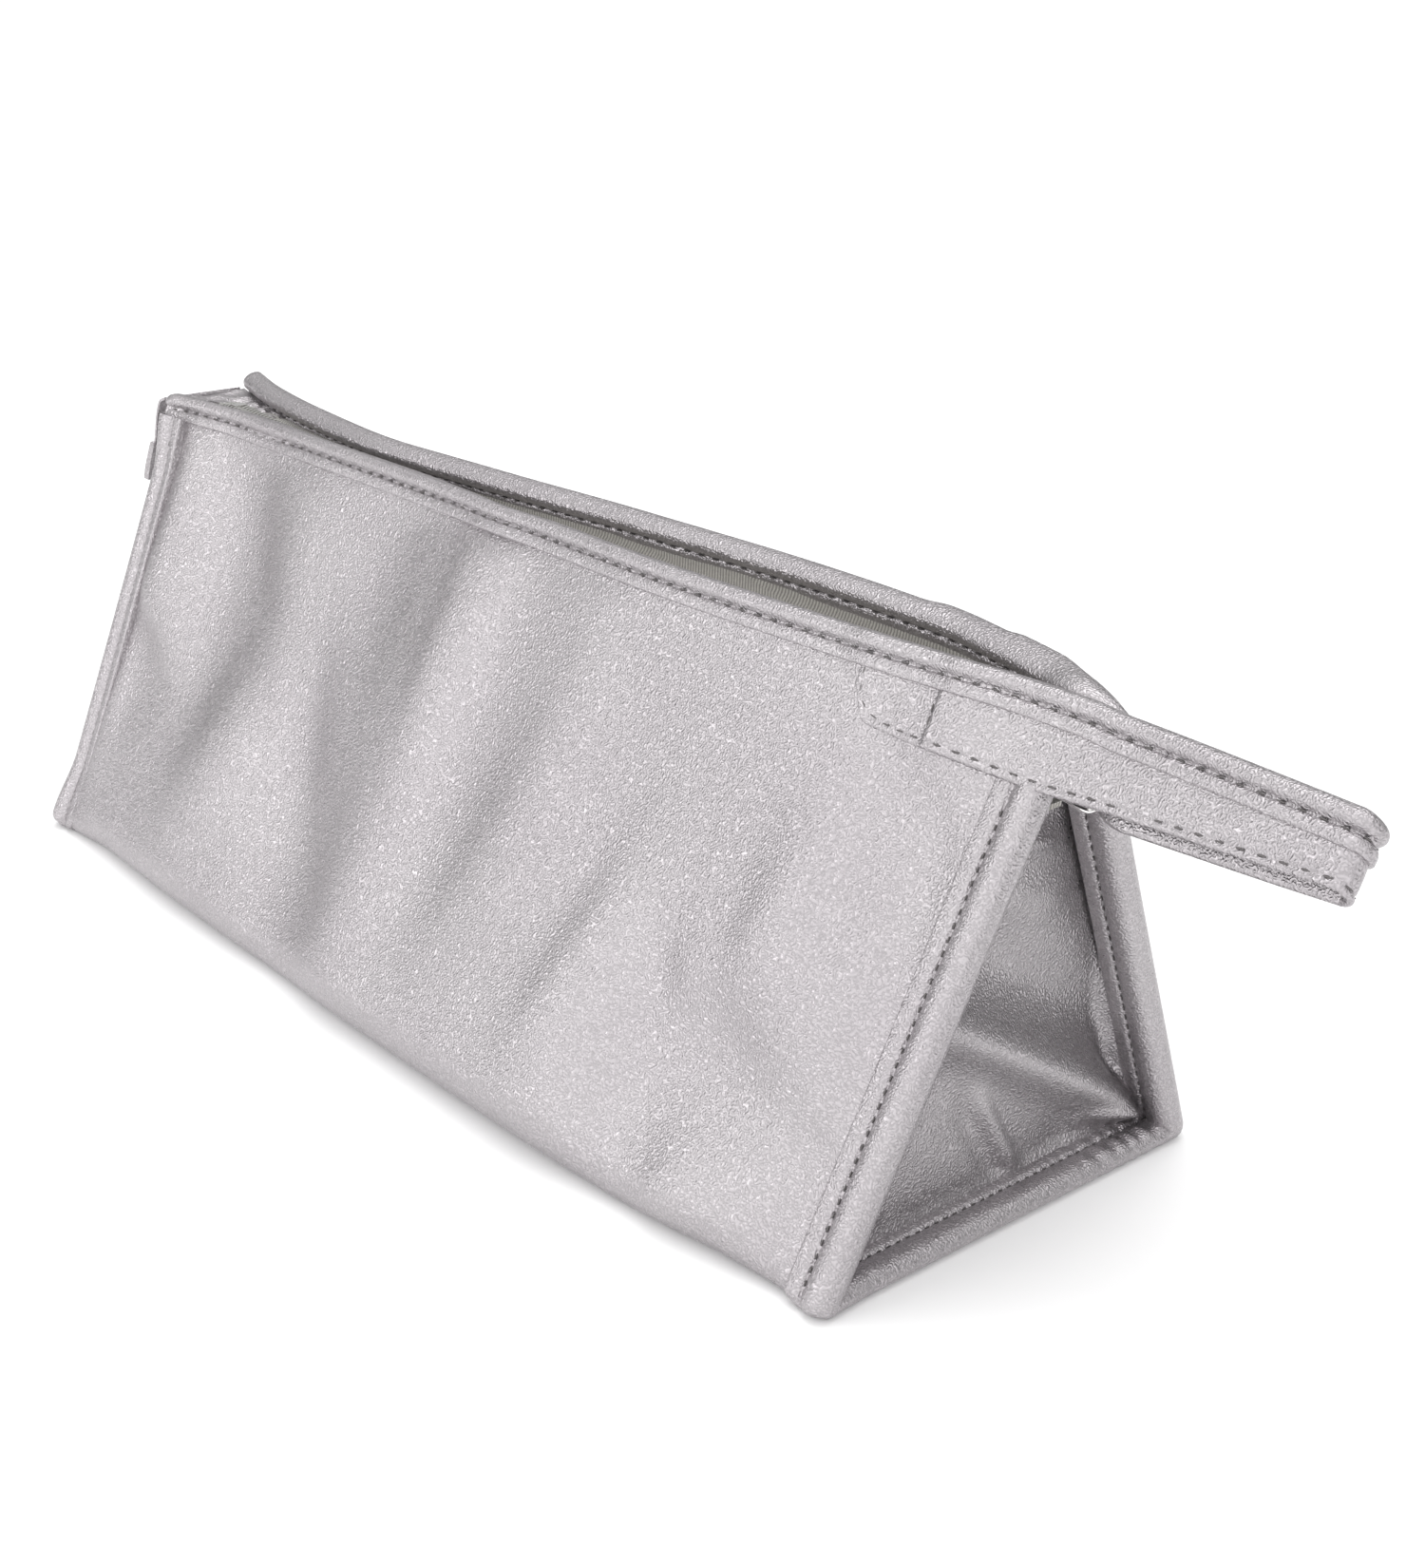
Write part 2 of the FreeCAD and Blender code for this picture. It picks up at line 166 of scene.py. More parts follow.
def run_along(line):
    """The distance along a line of points, at each point."""
    return np.concatenate([[0], np.cumsum(np.linalg.norm(np.diff(line, axis=0), axis=1))])


def squared_round(angle, power):
    """Cosine and sine, pushed towards a square's outline as the power goes below 1."""
    c, s = np.cos(angle), np.sin(angle)
    return np.sign(c) * np.abs(c) ** power, np.sign(s) * np.abs(s) ** power


def xyz(x, y, z):
    """Points from their coordinates, which are spread to the same shape."""
    return np.stack(np.broadcast_arrays(*(np.asarray(c, float) for c in (x, y, z))), -1)


# ---- the shape of the walls ----

# Where each lip lies, seen from above: the mouth stands a little open and the lips wander.
LIP_Y = {
    FRONT: smooth_curve(
        [(-158, -13), (-146, -10.5), (-123, -7.6), (-61, -7.3), (0, -7.9), (48, -9.2), (100, -6.6)]
        + [(126, -4.2), (147, -1.7), (164, -1.1), (225, -5)]
    ),
    BACK: smooth_curve(
        [(-158, 16.4), (-138, 11.7), (-98, 6.9), (-79, 6.0), (-35, 8.6), (23, 13.5), (81, 16.0)]
        + [(108, 15.2), (126, 12.0), (140, 8.6), (152, 5.0), (170, 3.0)]
    ),
}
back_rise = smooth_curve([(-158, 3.4), (-130, 2.0), (-60, 0.8), (150, 0.8), (170, 0)])
BULGE = {
    FRONT: smooth_curve(
        [(-152, 0), (-110, 5), (-50, 9), (40, 11.5), (90, 11), (125, 5), (142, 0.5), (152, 0)]
    ),
    BACK: smooth_curve([(-152, 0), (-100, 5), (0, 8), (100, 5), (152, 0)]),
}

# Soft folds of the padded walls: place along and up the wall, tilt from upright in degrees,
# half width, half length, and how steeply the surface rises across the fold towards the handle.
FOLDS = {}
FOLDS[FRONT] = [
    (-122, 95, 18, 10, 34, -0.12),
    (-134, 65, 54, 5, 19, 0.21),
    (-146, 88, 0, 4, 34, 0.10),
    (-138, 42, 18, 5, 12, -0.07),
    (-93, 97, 33, 10, 26, 0.14),
    (-93, 48, -10, 9, 26, 0.11),
    (-74, 30, -14, 11, 28, -0.06),
    (-56, 32, 22, 10, 30, -0.08),
    (-46, 58, 26, 7, 30, 0.11),
    (-32, 92, 4, 14, 40, 0.11),
    (-22, 26, 12, 10, 28, 0.14),
    (-17, 96, 2, 5, 32, 0.09),
    (0, 88, -3, 8, 40, -0.10),
    (3, 40, -6, 8, 22, -0.03),
    (22, 56, -9, 8, 34, 0.08),
    (42, 84, 0, 12, 44, -0.05),
    (61, 46, -10, 4.5, 28, 0.09),
    (80, 28, 8, 11, 24, -0.18),
    (90, 50, 20, 5, 10, 0.12),
    (104, 66, -3, 4.5, 20, 0.09),
    (119, 72, 12, 8, 20, -0.15),
    (117, 43, 54, 10, 17, 0.13),
    (136, 33, 62, 4, 10, 0.1),
    (131, 104, 56, 5, 20, 0.13),
    (104, 8, 8, 6, 14, 0.14),
    (138, 60, 8, 6, 28, -0.12),
]
FOLDS[BACK] = [
    (-118, 84, -16, 9, 34, 0.14),
    (-92, 58, 18, 8, 34, -0.15),
    (-60, 84, 6, 12, 34, 0.11),
    (-40, 44, 14, 8, 30, -0.13),
    (-14, 60, -8, 9, 36, 0.12),
    (16, 78, 12, 8, 36, -0.12),
    (44, 44, -6, 8, 30, 0.13),
    (70, 82, 4, 10, 30, -0.10),
    (92, 46, 20, 7, 26, 0.13),
    (122, 66, 24, 7, 28, -0.13),
]


def folds(side, x, s):
    """How far the wall's soft folds move its surface outwards."""
    total = np.zeros(np.broadcast(x, s).shape)
    for u0, s0, tilt, wide, long, steep in FOLDS[side]:
        c, n = math.cos(math.radians(tilt)), math.sin(math.radians(tilt))
        across = (x - u0) * c + (s - s0) * n
        along = (s - s0) * c - (x - u0) * n
        rise = steep * wide * np.tanh(across / wide) * np.exp(-((across / (3.2 * wide)) ** 2))
        total = total + FOLD_DEPTH * rise * np.exp(-((along / long) ** 2))
    edge = smoothstep(SLANT - 3, SLANT - 13, s) * smoothstep(150, 136, np.abs(x))
    return total * edge * smoothstep(-4, 10, s)


def end_turn(s):
    """How much the front wall's plain end turns away, up its slant."""
    return smoothstep(4, 22, s) * smoothstep(SLANT - 4, SLANT - 22, s)


def swell(side, x, s):
    """How far the padded wall stands out from the flat plane through its foot and lip."""
    share = np.clip(1 - s / SLANT, 0, 1.1)
    turn = 3.0 * smoothstep(-138, -156, x) * end_turn(s) if side == FRONT else 0
    return BULGE[side](x) * share**1.6 + folds(side, x, s) - turn


def wall_frame(side, x):
    """The foot, and the run and rise from it to the lip, at x."""
    lip = LIP_Y[side](x)
    rise = LIP_Z + (back_rise(x) if side == BACK else 0 * lip)
    return side * FOOT_Y, lip - side * FOOT_Y, rise


def wall_point(side, x, s, t=0.0):
    """A point of the wall: s up its slant, t inwards from its outer face."""
    foot, run, rise = wall_frame(side, x)
    size = np.hypot(run, rise)
    out = swell(side, x, s) - t
    y = foot + run * s / SLANT + side * out * rise / size
    z = rise * s / SLANT - side * out * run / size
    return xyz(x, y, z)


def wall_normal(side, x):
    """The wall's outward direction at x."""
    foot, run, rise = wall_frame(side, x)
    return unit(xyz(0 * run, side * rise, -side * run))


# How far up the slant the strap's lower edge is, and the rolled edge of the binding along its top.
strap_low = smooth_curve(
    [(106, 110.6), (127, 109.0), (150, 108.2), (172, 109.2), (200, 111.0), (222, 112.8)]
)
strap_top = smooth_curve([(-160, 128.4), (140, 128.6), (158, 128.4), (168, 127.7), (222, 127.3)])


def end_x(s):
    """Half the wall's length, s up its slant."""
    return BASE_HALF + (TOP_HALF - BASE_HALF) * s / SLANT


# ---- mesh making ----


def settled(points):
    """The pouch stands a little askew: its low back corner by the handle is pushed out and in."""
    x, y, z = np.asarray(points, float).T
    corner = smoothstep(50, 150, x) * np.clip((y + 45) / 100, 0, 1) * smoothstep(75, 5, z)
    return np.column_stack([x + 5.0 * corner, y - 5.2 * corner, z])


def mesh_object(name, points, faces):
    """An object from points in millimetres."""
    mesh = bpy.data.meshes.new(name)
    mesh.from_pydata((settled(points) * MM).tolist(), [], [tuple(int(i) for i in f) for f in faces])
    mesh.validate()
    mesh.polygons.foreach_set("use_smooth", [True] * len(mesh.polygons))
    mesh.update()
    made = bpy.data.objects.new(name, mesh)
    bpy.context.scene.collection.objects.link(made)
    return made


def grid_faces(rows, columns, wrap_rows=False, wrap_columns=False):
    """The quads of a grid of points, which may close on itself either way."""
    faces = []
    for r in range(rows if wrap_rows else rows - 1):
        for c in range(columns if wrap_columns else columns - 1):
            r2, c2 = (r + 1) % rows, (c + 1) % columns
            faces.append((r * columns + c, r * columns + c2, r2 * columns + c2, r2 * columns + c))
    return faces


def end_faces(ring, rows, base=0):
    """The two end faces of a tube whose rings of points start at number base."""
    last = base + (rows - 1) * ring
    return [tuple(range(base, base + ring)), tuple(range(last, last + ring))[::-1]]


def closed_object(name, points, faces):
    """An object from points in millimetres, with its faces turned outwards."""
    made = mesh_object(name, points, faces)
    face_outwards(made)
    return made


def sheet_object(name, grid, thickness, inward):
    """A closed sheet: a grid of points, and the same grid moved along its own normals by a thickness,
    which may differ from row to row."""
    rows, columns = grid.shape[:2]
    along = np.gradient(grid, axis=0)
    across = np.gradient(grid, axis=1)
    normal = unit(np.cross(along, across)) * inward
    other = grid + normal * np.reshape(thickness, (-1, 1, 1))
    count = rows * columns
    points = np.concatenate([grid.reshape(-1, 3), other.reshape(-1, 3)])
    top = grid_faces(rows, columns)
    under = [tuple(i + count for i in face[::-1]) for face in top]
    rim = [r * columns for r in range(rows)]
    rim += [(rows - 1) * columns + c for c in range(1, columns)]
    rim += [r * columns + columns - 1 for r in range(rows - 2, -1, -1)]
    rim += list(range(columns - 2, 0, -1))
    sides = []
    for i, a in enumerate(rim):
        b = rim[(i + 1) % len(rim)]
        sides.append((a, a + count, b + count, b))
    made = mesh_object(name, points, top + under + sides)
    crisp_faces(made, len(top) + len(under))
    return made


def crisp_faces(made, first):
    """Gives the faces from number first on a crisp edge, and turns all faces outwards."""
    mesh = made.data
    keys = set()
    for polygon in mesh.polygons[first:]:
        polygon.use_smooth = False
        keys.update(polygon.edge_keys)
    for edge in mesh.edges:
        if edge.key in keys:
            edge.use_edge_sharp = True
    face_outwards(made)


def face_outwards(made):
    """Turns a closed mesh's faces so that they all look outwards."""
    work = bmesh.new()
    work.from_mesh(made.data)
    bmesh.ops.recalc_face_normals(work, faces=work.faces)
    work.to_mesh(made.data)
    work.free()


def swept(name, origin, a_axis, b_axis, profile, closed=False):
    """A closed tube: a profile of (a, b) points, which may differ at each frame, carried along a line."""
    count = len(origin)
    profile = np.broadcast_to(profile, (count, *np.shape(profile)[-2:]))
    points = origin[:, None] + profile[:, :, :1] * a_axis[:, None] + profile[:, :, 1:] * b_axis[:, None]
    ring = profile.shape[1]
    faces = grid_faces(count, ring, wrap_rows=closed, wrap_columns=True)
    if not closed:
        faces += end_faces(ring, count)
    made = mesh_object(name, points.reshape(-1, 3), faces)
    crisp_faces(made, len(faces) if closed else len(faces) - 2)
    return made


def rounded_start(profile, size):
    """The profiles of a sweep, drawn in over its first frames."""
    scale = np.ones(len(profile))
    scale[:size] = np.sqrt(1 - (1 - (np.arange(size) + 0.35) / size) ** 2)
    middle = (profile.min(axis=1, keepdims=True) + profile.max(axis=1, keepdims=True)) / 2
    return middle + (profile - middle) * scale[:, None, None]


def joined(name, objects):
    """One object out of several."""
    bpy.ops.object.select_all(action="DESELECT")
    for made in objects:
        made.select_set(True)
    bpy.context.view_layer.objects.active = objects[0]
    bpy.ops.object.join()
    objects[0].name = name
    objects[0].data.name = name
    return objects[0]


# ---- bindings ----


def binding_profile(width, strip, core_out, core_in, plump):
    """The section of a rolled binding, as (a, b): a runs to the rolled edge at width, b outwards.
    It has a flat stitched strip and a plump roll on each face, and closes across the core."""
    roll = width - strip
    face = [
        (0.0, -0.2),
        (0.0, 0.6),
        (0.25, 0.92),
        (0.7, 1.0),
        (strip * 0.5, 1.05),
        (strip - 0.9, 1.0),
        (strip - 0.4, 0.82),
        (strip - 0.05, 0.4),
        (strip + 0.3, 0.42),
        (strip + 0.7, 0.95 * plump),
        (strip + roll * 0.3, 1.65 * plump),
        (strip + roll * 0.5, 1.9 * plump),
        (strip + roll * 0.72, 1.6 * plump),
        (strip + roll * 0.9, 0.6 * plump),
    ]
    outer = [(a, core_out + b) for a, b in face]
    inner = [(a, core_in - b) for a, b in face[::-1]]
    edge = [(width, (core_out + core_in) / 2)]
    return np.array(outer + edge + inner)


def refined(profile):
    """The same closed section with its corners rounded and its long sides divided."""
    after = np.roll(profile, -1, axis=-2)
    points = np.stack([0.75 * profile + 0.25 * after, 0.25 * profile + 0.75 * after], axis=-2)
    profile = points.reshape(*profile.shape[:-2], -1, 2)
    after = np.roll(profile, -1, axis=-2)
    lengths = np.linalg.norm(after - profile, axis=-1).reshape(-1, profile.shape[-2])[0]
    parts = []
    for i, length in enumerate(lengths):
        count = max(1, math.ceil(length / LONGEST_SIDE))
        for k in range(count):
            parts.append(profile[..., i, :] + (after - profile)[..., i, :] * k / count)
    return np.stack(parts, axis=-2)


core_outside = smooth_curve(
    [(-160, 0), (100, 0), (108, -0.9), (124, -0.9), (130, -1.7), (150, -1.8), (225, -1.8)]
)
core_inside = smooth_curve([(-160, WALL), (144, WALL), (163, 0), (225, 0)])


def core_at(x):
    """The outer and inner depth of what the top binding wraps, at x: the wall, then the strap alone."""
    return core_outside(x), core_inside(x)


def seam_pucker(profile, place, strip, pitch=STITCH_PITCH, depth=0.28):
    """Lets the seam's groove dip where each stitch pulls it in."""
    wave = 0.5 + 0.5 * np.cos(2 * math.pi * place / pitch)
    near = np.exp(-(((profile[..., 0] - strip) / 0.9) ** 2))
    middle = profile[..., 1].mean(axis=1, keepdims=True)
    moved = profile.copy()
    moved[..., 1] -= np.sign(profile[..., 1] - middle) * near * wave[:, None] * depth
    return moved


def strap_line(side, x, s, t):
    """A point of the strap or of the binding along its top. The back leg leaves the back wall and comes
    in behind the front leg."""
    if side == FRONT:
        return wall_point(FRONT, x, s, t)
    start, end = STRAP_TWIST
    on_wall = wall_point(BACK, x, s, t)
    behind = wall_point(FRONT, x, s, LOOP_GAP - t) - xyz(0 * x, 0 * x, LOOP_DROP + 0 * x)
    k = smoothstep(start, end, x)[..., None]
    return on_wall * (1 - k) + behind * k


def strap_frames(side, x):
    """Origin, upward axis and outward axis of the strap's section at x. The origin is its lower edge."""
    low = strap_line(side, x, strap_low(x), 0 * x)
    high = strap_line(side, x, strap_top(x), 0 * x)
    out = strap_line(side, x, strap_low(x), -1 + 0 * x)
    up = unit(high - low)
    return low, up, square_to(out - low, up)


def binding_foot(x):
    """How far above the strap's lower edge the binding along the lip starts."""
    return strap_top(x) - TOP_BINDING - strap_low(x)


def seam_height(x):
    """How far above the strap's lower edge the binding's stitches are."""
    return binding_foot(x) + TOP_STRIP


def top_bindings():
    """The rolled binding along each lip, which runs on along the strap as far as the loop."""
    made = {}
    for side in (FRONT, BACK):
        x = np.arange(-BINDING_HALF, LOOP_START + 0.01, 1.0)
        x[-1] = LOOP_START
        origin, up, away = strap_frames(side, x)
        out, inside = core_at(x)
        sections = [binding_profile(TOP_BINDING, TOP_STRIP, -o, -i, 0.85) for o, i in zip(out, inside)]
        profile = np.stack(sections)
        profile = seam_pucker(refined(profile), x, TOP_STRIP)
        profile[..., 0] += binding_foot(x)[:, None]
        profile = rounded_start(profile, 4)
        made[side] = swept(WALL_WORD[side] + "_lip_binding", origin, up, away, profile)
    return made


def end_binding_frames(side, end, s):
    """Frames along one end of a wall: a points out past the end, b outwards."""
    x = end * end_x(s)
    origin = wall_point(side, x, s)
    out = wall_normal(side, x)
    along = unit(np.gradient(origin, axis=0))
    past = unit(np.cross(along, out))
    past = past * np.sign(past[:, :1]) * end
    angle = 0.2 * end_turn(s)[:, None] if side == FRONT and end == LEFT else 0.0 * s[:, None]
    return origin, past * np.cos(angle) - out * np.sin(angle), out * np.cos(angle) + past * np.sin(angle)


def end_section(place, core_out, core_in, plump):
    """The section of an end binding at each place along it, with the seam's pucker."""
    profile = refined(binding_profile(END_BINDING, END_STRIP, core_out, core_in, plump))
    profile = profile + np.array([BINDING_CAP - END_BINDING, 0])
    profile = np.broadcast_to(profile, (len(place), *profile.shape)).copy()
    return seam_pucker(profile, place, END_SEAM, END_PITCH)


def end_bindings():
    """The rolled binding over each end of each wall."""
    made = {}
    for side in (FRONT, BACK):
        for end in (LEFT, RIGHT):
            top = strap_low(150) + 1 if end == RIGHT else TOP_SEAM_S + 1
            s = np.linspace(1.0, top, 120)
            origin, past, out = end_binding_frames(side, end, s)
            profile = rounded_start(end_section(s, 0.0, -WALL, 1.15), 3)
            name = END_WORD[end] + "_" + WALL_WORD[side] + "_end_binding"
            made[side, end] = swept(name, origin, past, out, profile)
    return made


def base_bindings():
    """The rolled binding over each end of the base."""
    made = {}
    for end in (LEFT, RIGHT):
        y = np.linspace(-FOOT_Y + 3.5, FOOT_Y - 3.5, 110)
        origin = xyz(end * BASE_HALF, y, 2.2)
        past = np.broadcast_to(np.array([end, 0.0, 0.0]), origin.shape)
        up = np.broadcast_to(np.array([0.0, 0.0, 1.0]), origin.shape)
        profile = end_section(y, 1.2, -0.6, 1.0)
        gathers = np.sin(y * 1.25 + np.sin(y * 0.31)) * smoothstep(14, 44, y) * 0.16
        profile[..., 1] *= (1 + gathers)[:, None]
        frames = (origin, past, up)
        made[end] = (swept(END_WORD[end] + "_floor_binding", *frames, profile), frames)
    return made


# ---- the padded shell and its lining ----


# Rows of points on the base, in the fold at its edge, and up the wall.
FLOOR_ROWS = 9
NOSE_ROWS = 12
WALL_ROWS = 75


def row_depths(on_floor, on_wall):
    """A depth for each row of a shell: one on the base, another on the wall, and a change in the fold."""
    change = on_floor + (on_wall - on_floor) * smoothstep(0, 1, np.linspace(0, 1, NOSE_ROWS))
    return np.concatenate([np.full(FLOOR_ROWS, on_floor), change, np.full(WALL_ROWS - 1, on_wall)])


def shell_row(side, x, row, t):
    """One row of a wall and its half of the base, from the base's middle (row 0) to the lip, t inwards."""
    nose = 10.5 - 5.5 * smoothstep(120, 150, np.abs(x))
    if row >= FLOOR_ROWS + NOSE_ROWS - 1:
        k = (row - FLOOR_ROWS - NOSE_ROWS + 1) / (WALL_ROWS - 1)
        return wall_point(side, x, nose + (SLANT - 1.0 - nose) * k, t)
    edge_y = side * (FOOT_Y + BULGE[side](x) * 0.8 - nose)
    if row < FLOOR_ROWS:
        return xyz(x, edge_y * row / (FLOOR_ROWS - 1), t)
    top = wall_point(side, x, nose, t)
    slope = unit(wall_point(side, x, nose + 1, t) - top)
    grip = nose * 0.62
    a = xyz(x, edge_y, t)
    b = a + xyz(0, side * grip, 0)
    return bent((row - FLOOR_ROWS + 1) / NOSE_ROWS, a, b, top - slope * grip[..., None], top)


def shell_grid(side, depths, inset):
    """The grid of one wall with its half of the base, its ends following the bound ends."""
    shares = np.linspace(-1, 1, 181)
    grid = []
    for row, t in enumerate(depths):
        rough = shell_row(side, shares * BASE_HALF, row, t)
        s = np.clip(rough[:, 2] / LIP_Z, 0, 1) * SLANT
        grid.append(shell_row(side, shares * (end_x(s) - inset), row, t))
    return np.stack(grid)


def shells():
    """Each wall's padded skin and its lining, both running on to the middle of the base."""
    made = {}
    for side in (FRONT, BACK):
        word = WALL_WORD[side]
        outer = shell_grid(side, row_depths(0.0, 0.0), 0.6)
        inner = shell_grid(side, row_depths(2.22, SKIN + 0.02), 0.9)
        skin = sheet_object(word + "_skin", outer, row_depths(0.96, SKIN), -side)
        lining = sheet_object(word + "_inner", inner, LINING, -side)
        made[side] = (skin, lining)
    return made


# ---- the end panels ----

# Creases of the end panels, as (y, z) of each end, half width, and height (outwards if positive).
END_CREASES = {
    RIGHT: [
        ((-26, 52), (54, 6), 5.5, 4.2),
        ((-14, 64), (54, 20), 8.5, -3.4),
        ((-22, 36), (30, 4), 9.0, -1.5),
        ((-3, 27), (11, 4), 2.4, 1.8),
        ((-8, 26), (5, 5), 3.2, -1.2),
        ((-14, 84), (14, 79), 2.4, 1.5),
        ((-12, 89), (12, 85), 2.0, -1.3),
        ((-8, 72), (20, 64), 5.0, 0.9),
        ((40, 22), (56, 6), 2.4, -3.4),
        ((34, 10), (56, 5), 2.0, 1.8),
    ],
    LEFT: [
        ((30, 60), (-50, 6), 4.5, 2.2),
        ((26, 74), (-44, 26), 8.0, -2.2),
        ((20, 40), (-26, 5), 8.0, -1.6),
        ((8, 22), (-4, 4), 2.4, 1.0),
        ((-8, 104), (8, 100), 2.4, 0.8),
    ],
}


def end_relief(end, y, z):
    """How far an end panel's creases move it outwards."""
    total = 0 * y
    for (y0, z0), (y1, z1), wide, height in END_CREASES[end]:
        length = math.hypot(y1 - y0, z1 - z0)
        along = ((y - y0) * (y1 - y0) + (z - z0) * (z1 - z0)) / length
        across = ((y - y0) * (z1 - z0) - (z - z0) * (y1 - y0)) / length
        window = smoothstep(-6, 8, along) * smoothstep(length + 6, length - 8, along)
        total = total + height * window * np.exp(-((across / wide) ** 2))
    return total


def inner_half_width(side, x, z):
    """How far from the middle the wall's inner face is, at height z."""
    s = np.linspace(0, SLANT, 300)
    face = wall_point(side, np.full_like(s, x), s, WALL - 0.4)
    return side * np.interp(z, face[:, 2], face[:, 1])


def end_panel_grid(end, side, x, low, high):
    """Half of an end panel, from the middle to one wall."""
    z = np.linspace(low, high, 110)[:, None]
    f = np.linspace(0, 1, 48)[None, :]
    half = inner_half_width(side, end * x, z)
    y = side * f * half
    edge = smoothstep(low, low + 4, z)
    relief = end_relief(end, y, z) * smoothstep(1.0, 0.88, f) - 1.2 * smoothstep(1.0, 0.95, f)
    return xyz(end * (x + relief * edge), y, z + 0 * y)


def end_share(end, side):
    """How much a point of an end panel follows its wall: fully at the wall, not at all in the middle."""

    def share(points):
        half = np.maximum(inner_half_width(side, end * GUSSET_X, points[:, 2]), 1.0)
        across = np.clip(side * points[:, 1] / half, 0, 1)
        return across ** (1 + 5 * np.exp(-points[:, 2] / 18))

    return share


def end_panels():
    """The two end panels, in halves, each with its lining."""
    made = {}
    for end, top in GUSSET_TOP.items():
        for side in (FRONT, BACK):
            name = END_WORD[end] + "_" + WALL_WORD[side] + "_gusset"
            outer = end_panel_grid(end, side, GUSSET_X, GUSSET_FOOT, top)
            inner = end_panel_grid(end, side, GUSSET_X - 1.02, GUSSET_FOOT, top - 4)
            made[end, side] = (
                sheet_object(name, outer, 1.0, end * side),
                sheet_object(name + "_inner", inner, LINING, end * side),
            )
    return made


# ---- the handle ----


def strap_section(width):
    """The strap's section at each width: a rounded lower edge, and a slight dip along the edge stitches."""
    thick = STRAP_THICK
    outer = [(0.1, thick * 0.75), (0.6, thick), (1.3, thick), (1.8, thick - 0.35), (2.3, thick)]
    outer.append((6.0, thick + 0.1))
    inner = [(2.0, 0.0), (0.7, 0.0), (0.1, thick * 0.25)]
    sections = []
    for top in np.atleast_1d(width) - 1.2:
        sections.append(outer + [(top - 2, thick), (top, thick), (top, 0.0)] + inner)
    return refined(np.array(sections))


def loop_frames():
    """Frames along the loop: out along the front leg, round the end, and back along the back leg."""
    reach = (LOOP_GAP + 2 * STRAP_THICK) / 2
    turn = LOOP_END - reach
    x = np.arange(LOOP_START, turn, 1.0)
    front = strap_frames(FRONT, x)
    back = strap_frames(BACK, x[::-1])
    start = [part[0] for part in strap_frames(FRONT, np.array([turn]))]
    end = [part[0] for part in strap_frames(BACK, np.array([turn]))]
    middle = (start[0] + end[0]) / 2
    angle = np.linspace(0, math.pi, 30)[:, None]
    ahead = np.array([1.0, 0.0, 0.0])
    gap = np.linalg.norm(start[0] - end[0]) / 2
    k = angle / math.pi
    origin = middle + (start[0] - middle) * np.cos(angle) + ahead * gap * 0.8 * np.sin(angle)
    away = unit(start[2] * np.cos(angle) + ahead * np.sin(angle))
    up = unit(start[1] * (1 - k) + end[1] * k)
    frames = [np.concatenate(parts) for parts in zip(front, (origin, up, away), back)]
    return frames, np.concatenate([x, np.full(len(angle), turn), x[::-1]])


def root_section(x):
    """The strap's section along its root, whose first corner is rounded and whose patch is thinner."""
    section = strap_section(strap_top(x) - strap_low(x))
    corner = smoothstep(PATCH_START + 7, PATCH_START, x)
    low = 6.5 * corner**2
    section[..., 0] = np.maximum(section[..., 0], low[:, None] + 0.1 * section[..., 0])
    patch = 0.42 + 0.58 * smoothstep(PATCH_END - 0.5, PATCH_END + 0.5, x)
    section[..., 1] *= (patch * smoothstep(PATCH_START - 1, PATCH_START + 0.8, x))[:, None]
    return section


def handle_pieces():
    """The strap in three lengths, its two roots on the walls and the loop, and the loop's binding."""
    made = {}
    for side in (FRONT, BACK):
        x = np.arange(PATCH_START, LOOP_START + 0.01, 0.6)
        x[-1] = LOOP_START
        made[side] = swept(WALL_WORD[side] + "_strap", *strap_frames(side, x), root_section(x))
    frames, x = loop_frames()
    made["loop"] = swept("loop_strap", *frames, strap_section(strap_top(x) - strap_low(x)))
    rim = refined(binding_profile(TOP_BINDING, TOP_STRIP, STRAP_THICK, 0.0, 0.85))
    length = run_along(frames[0])
    rim = seam_pucker(np.broadcast_to(rim, (len(length), *rim.shape)).copy(), length, TOP_STRIP)
    rim[..., 0] += binding_foot(x)[:, None]
    made["rim"] = swept("loop_binding", *frames, rim)
    return made


# The patch's stitched outline: places along the lip, and heights above the strap's lower edge.
PATCH_STITCHES = [(108.0, 10.4), (108.2, 7.6), (109.4, 4.6), (112.0, 2.5), (116.0, 1.7)]
PATCH_STITCHES += [(121.0, 1.6), (126.2, 1.7)]


def loop_share(points):
    """How much a point of the loop follows the swinging handle."""
    return smoothstep(LOOP_START + 0.5, LOOP_START + 13, points[:, 0])


def root_share(points):
    """How much a point of a strap's root or of a lip's binding follows its wall."""
    return smoothstep(LOOP_START, 150, points[:, 0])


# ---- the zip ----


def zip_z(x):
    """Height of the zip's coils at x. They dip past the slider's last place."""
    line = ZIP_RIGHT[2] + 1.3 + (ZIP_RIGHT[0] - x) * -ZIP_DIRECTION[2] / ZIP_DIRECTION[0]
    return line - 2.4 * smoothstep(-139, -152, x)


def zip_y(x):
    """The zip's middle line bends towards the front lip past the slider's last place."""
    return -4.0 * smoothstep(-141, -152, x)


def mouth_share(x):
    """How much the zip's middle line follows the walls: not at its two ends, where it is sewn shut."""
    return smoothstep(-140, -100, x) * smoothstep(128, 92, x)


